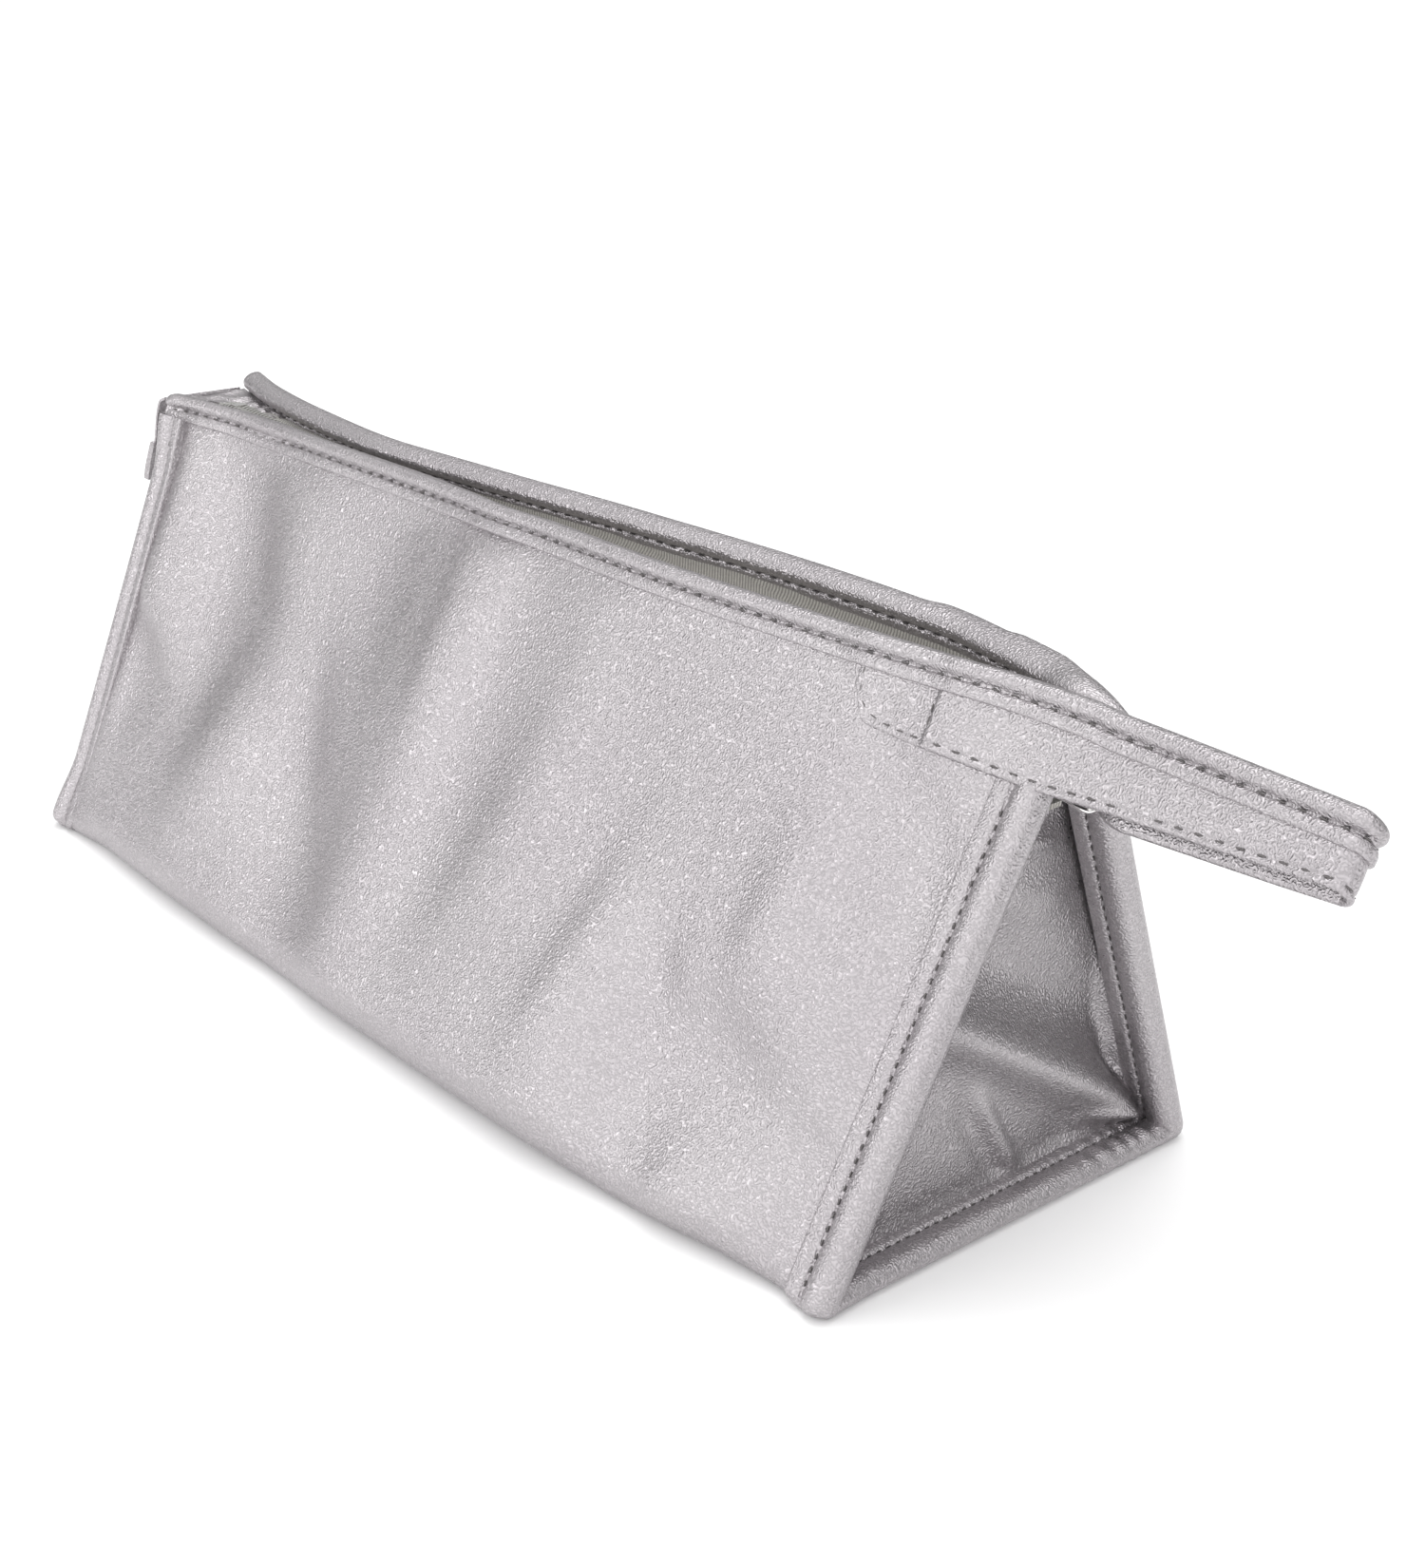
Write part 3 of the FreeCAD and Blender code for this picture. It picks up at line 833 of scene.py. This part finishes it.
def tape_grid(side, x):
    """One zip tape: from under the lip's binding, down and in to the coil."""
    start = wall_point(side, x, TOP_SEAM_S + 1.6 + 0 * x, WALL + 0.35 + 0 * x)
    end = xyz(x, zip_y(x) + side * 0.9, zip_z(x))
    drop = np.clip((start[:, 2] - end[:, 2]) / 2, 0.5, 9)
    second = start + xyz(0, -side * 0.4, -drop)
    third = end + xyz(0, side * np.clip(np.abs(start[:, 1] - end[:, 1]) * 0.5, 1.0, 5.0), 0.3 * drop)
    k = np.linspace(0, 1, 18)[:, None, None]
    grid = bent(k, start, second, third, end)
    wave = np.sin(x * 0.19 + side) * 0.5 + np.sin(x * 0.071 + 2 * side) * 0.7
    ripple = np.sin(math.pi * k[..., 0]) * wave
    return grid + ripple[..., None] * np.array([0, 0.4 * side, 0.5])


def tape_share(side):
    """How much a point of a zip tape follows its wall."""

    def share(points):
        grid = tape_grid(side, np.array([0.0]))
        reach = np.clip(side * points[:, 1] / max(side * grid[0, 0, 1], 1), 0, 1)
        open_part = mouth_share(points[:, 0])
        return 1 - (1 - open_part) * (1 - reach)

    return share


def end_cover(side):
    """Leather sewn over the tapes where the zip ends, from a lip's binding over the coil's end."""
    x = np.arange(-156.6, -126.5 if side == BACK else -148.5, 0.6)
    lip = wall_point(side, x, TOP_SEAM_S + 3.0 + 0 * x, WALL + 0.9 + 0 * x)
    over = smoothstep(-145, -150, x)
    crest = xyz(x, zip_y(x) + side * 3.1 * (1 - over), zip_z(x) + 0.9 + 1.7 * over)
    k = np.linspace(0, 1, 26)[:, None]
    grid = lip * (1 - k[..., None]) + crest * k[..., None]
    sag = np.sin(math.pi * k)
    wrinkles = 0.45 * np.sin(x * 0.75 + 5 * k) + 0.35 * np.sin(x * 0.33 - 9 * k + 1)
    return grid + (sag * (wrinkles - 0.6))[..., None] * np.array([0.0, 0.0, 1.0])


def coil_teeth(name, side, low, high):
    """A row of coil loops, each a bent wire across the coil."""
    ring = [(0.1, 0.35), (0.5, 0.1), (2.1, 0.15), (2.5, 0.6)]
    ring += [(2.3, 1.15), (1.6, 1.45), (0.6, 1.35), (0.1, 1.0)]
    thin = 0.36
    place = np.arange(low + (0 if side == FRONT else COIL_PITCH / 2), high, COIL_PITCH)
    outward = unit(np.array(ring) - np.mean(ring, axis=0))
    points = []
    faces = []
    for x in place:
        base = len(points)
        for i, ((y, z), (oy, oz)) in enumerate(zip(ring, outward)):
            lean = 0.25 * (i - 3.5) / 3.5
            for angle in SIXTHS:
                out = thin * math.cos(angle)
                across = zip_y(x) + side * (y + oy * out)
                points.append((x + lean + thin * math.sin(angle), across, zip_z(x) + z + oz * out))
        faces += [tuple(i + base for i in face) for face in grid_faces(len(ring), 6, True, True)]
    return closed_object(name, points, faces)


def zip_frame(centre, direction):
    """A local frame: a function that takes (along, across, up) lists to points."""
    ahead = unit(np.asarray(direction, float))
    across = np.array([0.0, 1.0, 0.0])
    up = unit(np.cross(ahead, across))
    up = up * (1 if up[2] > 0 else -1)

    def place(points):
        points = np.asarray(points, float)
        return centre + points[..., :1] * ahead + points[..., 1:2] * across + points[..., 2:] * up

    return place


def bevelled_plate(name, place, outline, low, high, bevel):
    """A plate of a given outline with rounded edges."""
    outline = np.array(outline, float)
    middle = outline.mean(axis=0)
    away = unit(outline - middle)
    loops = [(low, bevel), (low + bevel * 0.35, bevel * 0.35), (low + bevel, 0)]
    loops += [(high - bevel, 0), (high - bevel * 0.35, bevel * 0.35), (high, bevel)]
    points = []
    for height, inset in loops:
        flat = outline - away * inset
        points.append(np.column_stack([flat, np.full(len(flat), height)]))
    points = place(np.concatenate(points))
    ring = len(outline)
    faces = grid_faces(len(loops), ring, wrap_columns=True) + end_faces(ring, len(loops))
    return closed_object(name, points, faces)


def wire(name, path, radius, closed=False, flat=1.0):
    """A round or flattened wire along a path that lies in one plane."""
    path = np.array(path, float)
    if closed:
        ahead = unit(np.roll(path, -1, axis=0) - np.roll(path, 1, axis=0))
    else:
        ahead = unit(np.gradient(path, axis=0))
    spread = path - path.mean(axis=0)
    plane = unit(np.linalg.svd(spread)[2][2])
    b_axis = np.broadcast_to(plane, path.shape)
    a_axis = unit(np.cross(b_axis, ahead))
    angle = np.linspace(0, 2 * math.pi, 13)[:-1]
    profile = np.column_stack([np.cos(angle) * radius, np.sin(angle) * radius * flat])
    return swept(name, path, a_axis, b_axis, profile, closed=closed)


def slider_pieces():
    """The slider: two waisted plates joined by a wedge and side flanges, with a bridge over the top."""
    centre = (in_mm(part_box("slider_body")[0]) + in_mm(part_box("slider_body")[1])) / 2
    centre = np.array([centre[0], 0, zip_z(centre[0]) + 0.6])
    place = zip_frame(centre, ZIP_DIRECTION)
    angle = np.linspace(0, 2 * math.pi, 49)[:-1]
    x, y = squared_round(angle, 0.55)
    x = 5.4 * x
    outline = np.column_stack([x, (3.5 + 0.65 * np.tanh(x / 2.2)) * y])
    pieces = [
        bevelled_plate("slider_top", place, outline, 1.15, 2.25, 0.35),
        bevelled_plate("slider_under", place, outline, -2.2, -1.2, 0.35),
    ]
    wedge = np.column_stack([3.9 + 1.1 * np.cos(angle), 0.9 * np.sin(angle)])
    pieces.append(bevelled_plate("slider_wedge", place, wedge, -1.3, 1.25, 0.1))
    for side in (FRONT, BACK):
        along = 4.0 * squared_round(angle, 0.4)[0] - 1.0
        rail = np.column_stack([along, side * 3.25 + 0.32 * np.sin(angle)])
        pieces.append(bevelled_plate("slider_flange", place, rail, 0.3, 1.3, 0.1))
        pieces.append(bevelled_plate("slider_flange", place, rail, -1.35, -0.45, 0.1))
    arch = [(-4.2, 0, 2.0), (-4.2, 0, 4.2), (-3.2, 0, 5.6), (-1.4, 0, 6.2)]
    arch += [(1.0, 0, 6.0), (2.7, 0, 5.0), (3.4, 0, 3.6), (3.5, 0, 2.0)]
    pieces.append(wire("slider_bridge", place(through(arch, 36)), WIRE, flat=1.7))
    return joined("slider", pieces)


def pull_piece():
    """The pull: a long wire loop that hangs in the slider's bridge and leans to the back wall."""
    pivot = in_mm(joints["pull_swing"]["pos_m"])
    low, high = in_mm(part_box("pull_ring")[0]), in_mm(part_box("pull_ring")[1])
    tip = np.array([high[0] - 0.8, 0, low[2] + 0.8])
    place = zip_frame(pivot, tip - pivot)
    length = np.linalg.norm(tip - pivot)
    angle = np.linspace(0, 2 * math.pi, 97)[:-1]
    along = length / 2 + (length / 2) * squared_round(angle, 0.16)[0]
    half = 1.4 + 1.25 * smoothstep(2.0, 6.5, along)
    lean = 2.0 * smoothstep(3.0, 9.0, along)
    across = half * squared_round(angle, 0.3)[1] + lean
    path = np.column_stack([along, across, 0 * along])
    return wire("zip_pull_loop", place(path), WIRE, closed=True, flat=0.8)


# ---- the tail of the zip ----

TAIL_LINE = [(-157.6, 115.9), (-160.4, 114.6), (-162.6, 110.5), (-163.9, 105.5), (-165.2, 100.3)]
TAB_LINE = [(-164.8, 101.6), (-166.6, 97.6), (-168.4, 93.6), (-169.9, 90.0)]


def hanging_grid(line, half, count, wander):
    """A strip that hangs along a line of (x, z) points, half wide each way."""
    x, z = (column[:, None] for column in through(line, count).T)
    y = np.linspace(-half, half, 33)[None, :]
    wave = wander * np.sin(y * 0.33 + 0.8) * np.linspace(0, 1, count)[:, None]
    return xyz(x + wave, y + 0 * x, z - 0.3 * wave)


def tail_pieces():
    """The zip's free end: its tape, and a folded leather tab over the cut."""
    half = in_mm(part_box("tail_tab")[1])[1]
    tape = sheet_object("tail_cloth", hanging_grid(TAIL_LINE, half - 0.8, 24, 0.5), 0.7, 1)
    tab = hanging_grid(TAB_LINE, half, 24, 0.5)
    normal = unit(np.cross(np.gradient(tab, axis=0), np.gradient(tab, axis=1)))
    puff = 0.35 * np.sin(np.linspace(0, math.pi, 24))[:, None, None] ** 0.5
    leather_tab = sheet_object("tail_tab_cover", tab - normal * (0.6 + puff), 2.0, 1)
    return tape, leather_tab


# ---- stitches ----


def along_line(frames, distance):
    """Points and axes of a line of frames at given distances along it."""
    line = frames[0]
    run = run_along(line)
    return [np.stack([np.interp(distance, run, part[:, i]) for i in range(3)], -1) for part in frames]


def seam_marks(name, frames, a, b, start=3.0, stop=3.0, pitch=STITCH_PITCH, length=1.9):
    """A row of short dark marks along a seam, painted shade of the needle holes and dips. a and b place
    them in each frame's section, and may vary.
    """
    origin, a_axis, b_axis = frames
    line = origin + a_axis * np.reshape(a, (-1, 1)) + b_axis * np.reshape(b, (-1, 1))
    places = np.arange(start, run_along(line)[-1] - stop, pitch)
    centre, across, out = along_line([line, a_axis, b_axis], places)
    before, after = along_line([line], places - 0.5)[0], along_line([line], places + 0.5)[0]
    ahead = unit(after - before)
    across = square_to(across, ahead)
    out = unit(out)
    rings = [(-1.0, 0.0), (-0.8, 0.7), (-0.35, 1.0), (0.35, 1.0), (0.8, 0.7), (1.0, 0.0)]
    points = []
    faces = []
    for p, forward, side_way, up in zip(centre, ahead, across, out):
        base = len(points)
        for k, size in rings:
            size = max(size, 0.12)
            for turn in SIXTHS:
                lift = math.sin(turn) * 0.22 * size - 0.05
                offset = side_way * math.cos(turn) * 0.18 * size + up * lift
                points.append(p + forward * k * length / 2 + offset)
        faces += [tuple(i + base for i in face) for face in grid_faces(len(rings), 6, wrap_columns=True)]
        faces += end_faces(6, len(rings), base)
    return closed_object(name, points, faces)


# ---- materials ----


class Nodes:
    """A short way to build the nodes of a material or of the world."""

    def __init__(self, owner, shader="Principled BSDF"):
        owner.use_nodes = True
        self.tree = owner.node_tree
        self.shader = self.tree.nodes[shader]

    def feed(self, socket, value):
        """Links a socket to an output, or sets it to a constant."""
        if isinstance(value, bpy.types.NodeSocket):
            self.tree.links.new(value, socket)
        else:
            socket.default_value = value

    def add(self, kind, **values):
        """A new node with its settings and inputs, by name."""
        node = self.tree.nodes.new(kind)
        for key, value in values.items():
            if hasattr(node, key):
                setattr(node, key, value)
            else:
                self.feed(node.inputs[key.replace("_", " ")], value)
        return node

    def shade(self, **values):
        """Feeds the shader's inputs, by name."""
        for key, value in values.items():
            self.feed(self.shader.inputs[key.replace("_", " ")], value)

    def place(self):
        """The place in the object's own coordinates, in metres."""
        return self.add("ShaderNodeTexCoord").outputs["Object"]

    def noise(self, scale, detail=2.0, rough=0.5):
        values = {"Scale": scale, "Detail": detail, "Roughness": rough}
        return self.add("ShaderNodeTexNoise", Vector=self.place(), **values).outputs["Fac"]

    def ramp(self, source, stops):
        node = self.add("ShaderNodeValToRGB", Fac=source)
        ramp = node.color_ramp
        while len(ramp.elements) < len(stops):
            ramp.elements.new(0.5)
        for element, (place, colour) in zip(ramp.elements, stops):
            element.position = place
            element.color = (*colour, 1)
        return node.outputs["Color"]

    def maths(self, operation, a, b):
        node = self.add("ShaderNodeMath", operation=operation)
        for socket, value in zip(node.inputs, (a, b)):
            self.feed(socket, value)
        return node.outputs[0]

    def scaled(self, value, factor):
        return self.maths("MULTIPLY", value, factor)

    def mix(self, share, a, b, blend="MIX"):
        """One colour over another."""
        node = self.add("ShaderNodeMix", data_type="RGBA", blend_type=blend)
        for index, value in ((0, share), (6, a), (7, b)):
            self.feed(node.inputs[index], value)
        return node.outputs[2]

    def bump(self, height, distance):
        return self.add("ShaderNodeBump", Distance=distance, Height=height).outputs["Normal"]


def surface(name):
    """A new material, and its nodes."""
    material = bpy.data.materials.new(name)
    return material, Nodes(material)


def leather(name, tint, metallic, rough):
    """Pearl metallic coated fabric: a fine worm-like grain, lighter on its ridges."""
    material, n = surface(name)
    worms = n.maths("ABSOLUTE", n.maths("SUBTRACT", n.noise(1300, 0.5), 0.5), 0.0)
    grain = n.noise(2600, 0.5)
    pores = n.noise(900, 1.0)
    height = n.maths("ADD", n.scaled(worms, 2.6), n.scaled(grain, 0.4))
    height = n.maths("ADD", height, n.scaled(pores, 0.4))
    speck = n.maths("ADD", n.scaled(worms, 2.2), n.scaled(grain, 0.5))
    dark = tuple(c * 0.84 for c in tint)
    light = tuple(c * 1.12 for c in tint)
    flake = n.ramp(speck, [(0.28, dark), (0.45, tint), (0.66, light)])
    wear = n.ramp(n.noise(24), [(0.3, (0.95, 0.94, 0.95)), (0.7, (1.0, 1.0, 1.0))])
    n.shade(
        Base_Color=n.mix(1.0, flake, wear, "MULTIPLY"),
        Roughness=n.maths("ADD", n.scaled(pores, 0.14), rough - 0.07),
        Metallic=metallic,
        Normal=n.bump(height, 0.00018),
    )
    return material


def cloth(n, height, dark, tint, rough, sheen):
    """Finishes a cloth whose threads are raised by height, and lighter where they are high."""
    n.shade(Base_Color=n.ramp(height, [dark, tint]), Roughness=rough, Sheen_Weight=sheen)
    n.shade(Normal=n.bump(height, 0.00012))


def woven(name, tint, dark, threads):
    """Plain woven cloth."""
    material, n = surface(name)
    place = n.place()
    heights = []
    for direction in ("X", "Y", "Z"):
        values = {"bands_direction": direction, "Scale": threads, "Distortion": 0.6, "Detail": 1.0}
        heights.append(n.add("ShaderNodeTexWave", Vector=place, **values).outputs["Fac"])
    weave = n.maths("MULTIPLY", n.maths("ADD", heights[0], heights[1]), n.maths("ADD", heights[2], 0.5))
    cloth(n, weave, (0.1, dark), (0.9, tint), 0.8, 0.25)
    return material


def herringbone(name, tint, dark):
    """Zip tape: slanted ribs that change direction across the tape."""
    material, n = surface(name)
    split = n.add("ShaderNodeSeparateXYZ", Vector=n.place())
    zigzag = n.maths("PINGPONG", split.outputs["Y"], 0.0018)
    lines = n.scaled(n.maths("ADD", split.outputs["X"], zigzag), 2 * math.pi / 0.0009)
    height = n.maths("ADD", n.scaled(n.maths("SINE", lines, 0.0), 0.5), n.noise(2500))
    cloth(n, height, (0.15, dark), (0.85, tint), 0.75, 0.3)
    return material


def metal(name, tint, rough):
    """Polished plated metal with faint handling marks."""
    material, n = surface(name)
    marks = n.noise(900, 4.0, 0.7)
    n.shade(Base_Color=(*tint, 1), Metallic=1.0, Normal=n.bump(marks, 0.00002))
    n.shade(Roughness=n.maths("ADD", n.scaled(marks, 0.12), rough))
    return material


def plain_plastic(name, tint, rough, scale):
    """Moulded or drawn plastic with a slight texture."""
    material, n = surface(name)
    speck = n.noise(scale)
    darker = tuple(c * 0.88 for c in tint)
    n.shade(Base_Color=n.ramp(speck, [(0.3, darker), (0.7, tint)]), Roughness=rough)
    n.shade(Normal=n.bump(speck, 0.00005))
    return material


SILVER = leather("pearl_silver", (0.45, 0.428, 0.44), 0.86, 0.3)
LINING_CLOTH = woven("lining_cloth", (0.28, 0.27, 0.28), (0.17, 0.16, 0.17), 900)
TAPE_CLOTH = herringbone("zip_tape_cloth", (0.52, 0.50, 0.465), (0.25, 0.24, 0.222))
COIL_PLASTIC = plain_plastic("coil_plastic", (0.34, 0.335, 0.32), 0.35, 1200)
NICKEL = metal("bright_nickel", (0.86, 0.85, 0.84), 0.14)
BOARD_PLASTIC = plain_plastic("stiffener_board", (0.75, 0.75, 0.72), 0.6, 400)
# The stitch marks' dark colour is painted shade of the needle holes and of the dips where each stitch pulls
# in.
STITCH_HOLE_SHADE = plain_plastic("thread", (0.13, 0.12, 0.12), 0.7, 3000)


def finished(made, material):
    """Gives a piece its material."""
    made.data.materials.clear()
    made.data.materials.append(material)
    return made


def in_leather(made):
    """Gives a piece the walls' silver fabric."""
    return finished(made, SILVER)


def in_stitch_shade(made):
    """Gives stitch marks their dark colour, painted shade of the needle holes and dips."""
    return finished(made, STITCH_HOLE_SHADE)


def riding_weights(made, weight):
    """Bakes a piece's placement into its mesh and reckons, from weight, a share for each point in
    millimetres; the share is not used, so the piece does not bend.
    """
    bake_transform(made)
    points = np.array([v.co for v in made.data.vertices], float) / MM
    share = np.clip(weight(points), 0, 1)
    return made


def with_wall(made, weight):
    """Hands a piece and its wall weights to riding_weights, which bakes its placement; nothing bends it
    between the base and a wall.
    """
    return riding_weights(made, weight)


# ---- assembling ----


def wall_share(side):
    """How much a point of a wall's skin follows the wall: none on the base, all above the fold."""

    def share(points):
        reach = side * points[:, 1]
        on_base = smoothstep(FOOT_Y - 14, FOOT_Y - 4, reach + points[:, 2] * 0.6)
        return np.where(points[:, 2] > 12, 1.0, np.maximum(on_base * smoothstep(0.5, 12, points[:, 2]), 0))

    return share


def place_walls():
    """The padded walls with their halves of the base."""
    for side, (skin, lining) in shells().items():
        word = WALL_WORD[side]
        in_leather(skin)
        finished(lining, LINING_CLOTH)
        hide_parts(word + "_panel", word + "_padding", "base_panel")
        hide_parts(word + "_lining", "base_lining")
        for made in (skin, lining):
            with_wall(made, wall_share(side))


def place_top_bindings():
    """The lips' bindings and their stitches."""
    for side, made in top_bindings().items():
        in_leather(made)
        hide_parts(WALL_WORD[side] + "_top_binding")
        with_wall(made, root_share)
        x = np.arange(-BINDING_HALF + 2, LOOP_START - 1, 1.0)
        out, inside = core_at(x)
        for word, depth, stop in (("outer", 0.52 - out, 1.0), ("inner", -inside - 0.52, 30.0)):
            name = f"{WALL_WORD[side]}_lip_{word}_stitches"
            stitches = seam_marks(name, strap_frames(side, x), seam_height(x), depth, stop=stop)
            in_stitch_shade(stitches)
            with_wall(stitches, root_share)


def end_stitches(name, frames, depth, body):
    """The fine stitches of an end binding."""
    stitches = seam_marks(name, frames, END_SEAM, depth, pitch=END_PITCH, length=1.4)
    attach(in_stitch_shade(stitches), body)


def place_end_bindings():
    """The bindings of the walls' and the base's ends, and their stitches."""
    for (side, end), made in end_bindings().items():
        body = WALL_BODY[side]
        in_leather(made)
        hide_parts(END_WORD[end] + "_" + WALL_WORD[side] + "_binding")
        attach(made, body)
        s = np.linspace(3.0, strap_low(150) - 1 if end == RIGHT else TOP_SEAM_S - 1, 120)
        frames = end_binding_frames(side, end, s)
        for word, depth in (("outer", 0.5), ("inner", -WALL - 0.5)):
            end_stitches(f"{made.name}_{word}_stitches", frames, depth + 0 * s, body)
    for end, (made, frames) in base_bindings().items():
        in_leather(made)
        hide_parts(END_WORD[end] + "_base_binding")
        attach(made, "base")
        end_stitches(f"{made.name}_stitches", frames, 1.65 + 0 * frames[0][:, 0], "base")


def place_end_panels():
    """The end panels and their linings."""
    for (end, side), (panel, lining) in end_panels().items():
        word = END_WORD[end]
        in_leather(panel)
        finished(lining, LINING_CLOTH)
        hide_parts(word + "_gusset")
        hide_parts(word + "_gusset_lining")
        for made, low in ((panel, 0.0), (lining, 4.0)):
            with_wall(made, end_share(end, side))


def place_handle():
    """The strap's roots, the loop with its binding, and their stitches."""
    pieces = handle_pieces()
    for side in (FRONT, BACK):
        word = WALL_WORD[side]
        made = in_leather(pieces[side])
        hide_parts(word + "_strap_patch", word + "_strap_root")
        with_wall(made, root_share)
        x = np.arange(PATCH_END + 1, LOOP_START - 1, 1.0)
        edge = seam_marks(f"{word}_strap_stitches", strap_frames(side, x), 1.8, STRAP_THICK - 0.12 + 0 * x)
        steps = np.linspace(0, len(PATCH_STITCHES) - 1, 60)
        x, a = (np.interp(steps, np.arange(len(PATCH_STITCHES)), column) for column in zip(*PATCH_STITCHES))
        name = f"{word}_patch_stitches"
        patch = seam_marks(name, strap_frames(side, x), a, 0.72 + 0 * x, start=0.5, stop=0.5, pitch=3.6)
        x = np.array([PATCH_END + 0.2, PATCH_END - 0.6])
        name = f"{word}_patch_end_stitches"
        rise = np.array([2.6, 10.6])
        across = seam_marks(name, strap_frames(side, x), rise, 1.35 + 0 * x, start=0.5, stop=0.5, pitch=2.6)
        for stitches in (edge, patch, across):
            in_stitch_shade(stitches)
            with_wall(stitches, root_share)
    for key, node in (("loop", "handle_strap"), ("rim", "handle_binding")):
        made = in_leather(pieces[key])
        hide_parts(node)
        riding_weights(made, loop_share)
    frames, x = loop_frames()
    seam = seam_height(x)
    rows = [("edge", 1.8, STRAP_THICK - 0.12), ("rim", seam, STRAP_THICK + 0.45)]
    rows.append(("rim_inner", seam, -0.45))
    for word, a, b in rows:
        stitches = seam_marks(f"loop_{word}_stitches", frames, a, b + 0 * x)
        in_stitch_shade(stitches)
        riding_weights(stitches, loop_share)


def place_zip():
    """The tapes, the leather over their ends, the coils, the slider with its pull, and the zip's tail."""
    for side in (FRONT, BACK):
        word = WALL_WORD[side]
        grid = tape_grid(side, np.arange(*ZIP_ENDS, 1.5))
        tape = sheet_object(word + "_tape", grid, 0.6, side)
        finished(tape, TAPE_CLOTH)
        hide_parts(word + "_zip_tape")
        with_wall(tape, tape_share(side))
        cover = sheet_object(word + "_end_cover", end_cover(side), 0.5, -side)
        in_leather(cover)
        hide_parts("left_zip_end")
        with_wall(cover, tape_share(side))
        coil = coil_teeth(word + "_coil", side, *COIL_ENDS)
        finished(coil, COIL_PLASTIC)
        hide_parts(word + "_zip_coil")
        with_wall(coil, lambda p: mouth_share(p[:, 0]))
    slider = finished(slider_pieces(), NICKEL)
    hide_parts("slider_body")
    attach(slider, "zip_slider")
    pull = finished(pull_piece(), NICKEL)
    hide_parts("pull_ring")
    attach(pull, "zip_pull")
    tape, tab = tail_pieces()
    in_leather(tape)
    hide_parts("tail_tape")
    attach(tape, "zip_tail")
    in_leather(tab)
    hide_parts("tail_tab")
    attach(tab, "zip_tail")


def finish_cad_nodes():
    """Materials for the CAD pieces that stay as they are."""
    for node, material in (
        ("base_board", BOARD_PLASTIC),
        ("right_zip_end", TAPE_CLOTH),
        ("left_zip_stop", NICKEL),
        ("right_zip_stop", NICKEL),
    ):
        for slot in bpy.data.objects[node].material_slots:
            slot.material = material


# ---- the view, with places in metres ----

FLOOR = 4000.0  # half the floor's width, in millimetres


def make_camera():
    """A camera that looks down on the front wall and the handle end, from its place and its three axes."""
    data = bpy.data.cameras.new("camera")
    data.sensor_width = 36.0
    data.lens = 49.22
    data.clip_start = 0.01
    camera = bpy.data.objects.new("camera", data)
    right = Vector((0.68685, 0.72575, 0.03915))
    up = Vector((-0.30682, 0.24070, 0.92083))
    forward = Vector((-0.65887, 0.64448, -0.38800))
    place = Vector((0.37714, -0.31399, 0.25529))
    rows = [(right[i], up[i], -forward[i], place[i]) for i in range(3)]
    camera.matrix_world = Matrix([*rows, (0, 0, 0, 1)])
    bpy.context.scene.collection.objects.link(camera)
    bpy.context.scene.camera = camera


def soft_light(name, place, target, size, power):
    """A square area light that faces a target."""
    data = bpy.data.lights.new(name, "AREA")
    data.size = size
    data.energy = power
    lamp = bpy.data.objects.new(name, data)
    lamp.location = place
    lamp.rotation_euler = (Vector(target) - Vector(place)).to_track_quat("-Z", "Y").to_euler()
    bpy.context.scene.collection.objects.link(lamp)


def make_studio():
    """A pale floor, soft lights and a pale surround."""
    corners = [(-FLOOR, -FLOOR, 0), (FLOOR, -FLOOR, 0), (FLOOR, FLOOR, 0), (-FLOOR, FLOOR, 0)]
    floor = mesh_object("floor", corners, [(0, 1, 2, 3)])
    paper, n = surface("floor_paper")
    n.shade(Base_Color=(0.96, 0.96, 0.96, 1), Roughness=0.9)
    floor.data.materials.append(paper)
    make_dome()
    soft_light("key", (-0.75, -1.1, 0.5), (0, 0, 0.06), 0.5, 2.0)
    soft_light("top", (-0.1, 0.1, 1.4), (0, 0, 0.05), 0.9, 4.0)
    bpy.context.scene.view_settings.view_transform = "Standard"


def make_dome():
    """A pale surround that is brightest overhead and in front of the handle end."""
    world = bpy.context.scene.world or bpy.data.worlds.new("world")
    bpy.context.scene.world = world
    n = Nodes(world, "Background")
    split = n.add("ShaderNodeSeparateXYZ", Vector=n.add("ShaderNodeTexCoord").outputs["Generated"])
    side = n.maths("ADD", n.scaled(split.outputs["X"], 0.211), n.scaled(split.outputs["Y"], -0.453))
    side = n.maths("ADD", side, 0.5)
    around = n.ramp(side, [(0.39, (0.22,) * 3), (1.0, (1.5,) * 3)])
    overhead = n.ramp(split.outputs["Z"], [(0.2, (0.0,) * 3), (1.0, (1.0,) * 3)])
    lit = n.mix(overhead, around, (1.35, 1.35, 1.35, 1))
    seen = n.add("ShaderNodeLightPath").outputs["Is Camera Ray"]
    n.shade(Color=n.mix(seen, lit, (1, 1, 1, 1)), Strength=1.12)


make_camera()
make_studio()
place_walls()
place_top_bindings()
place_end_bindings()
place_end_panels()
place_handle()
place_zip()
finish_cad_nodes()
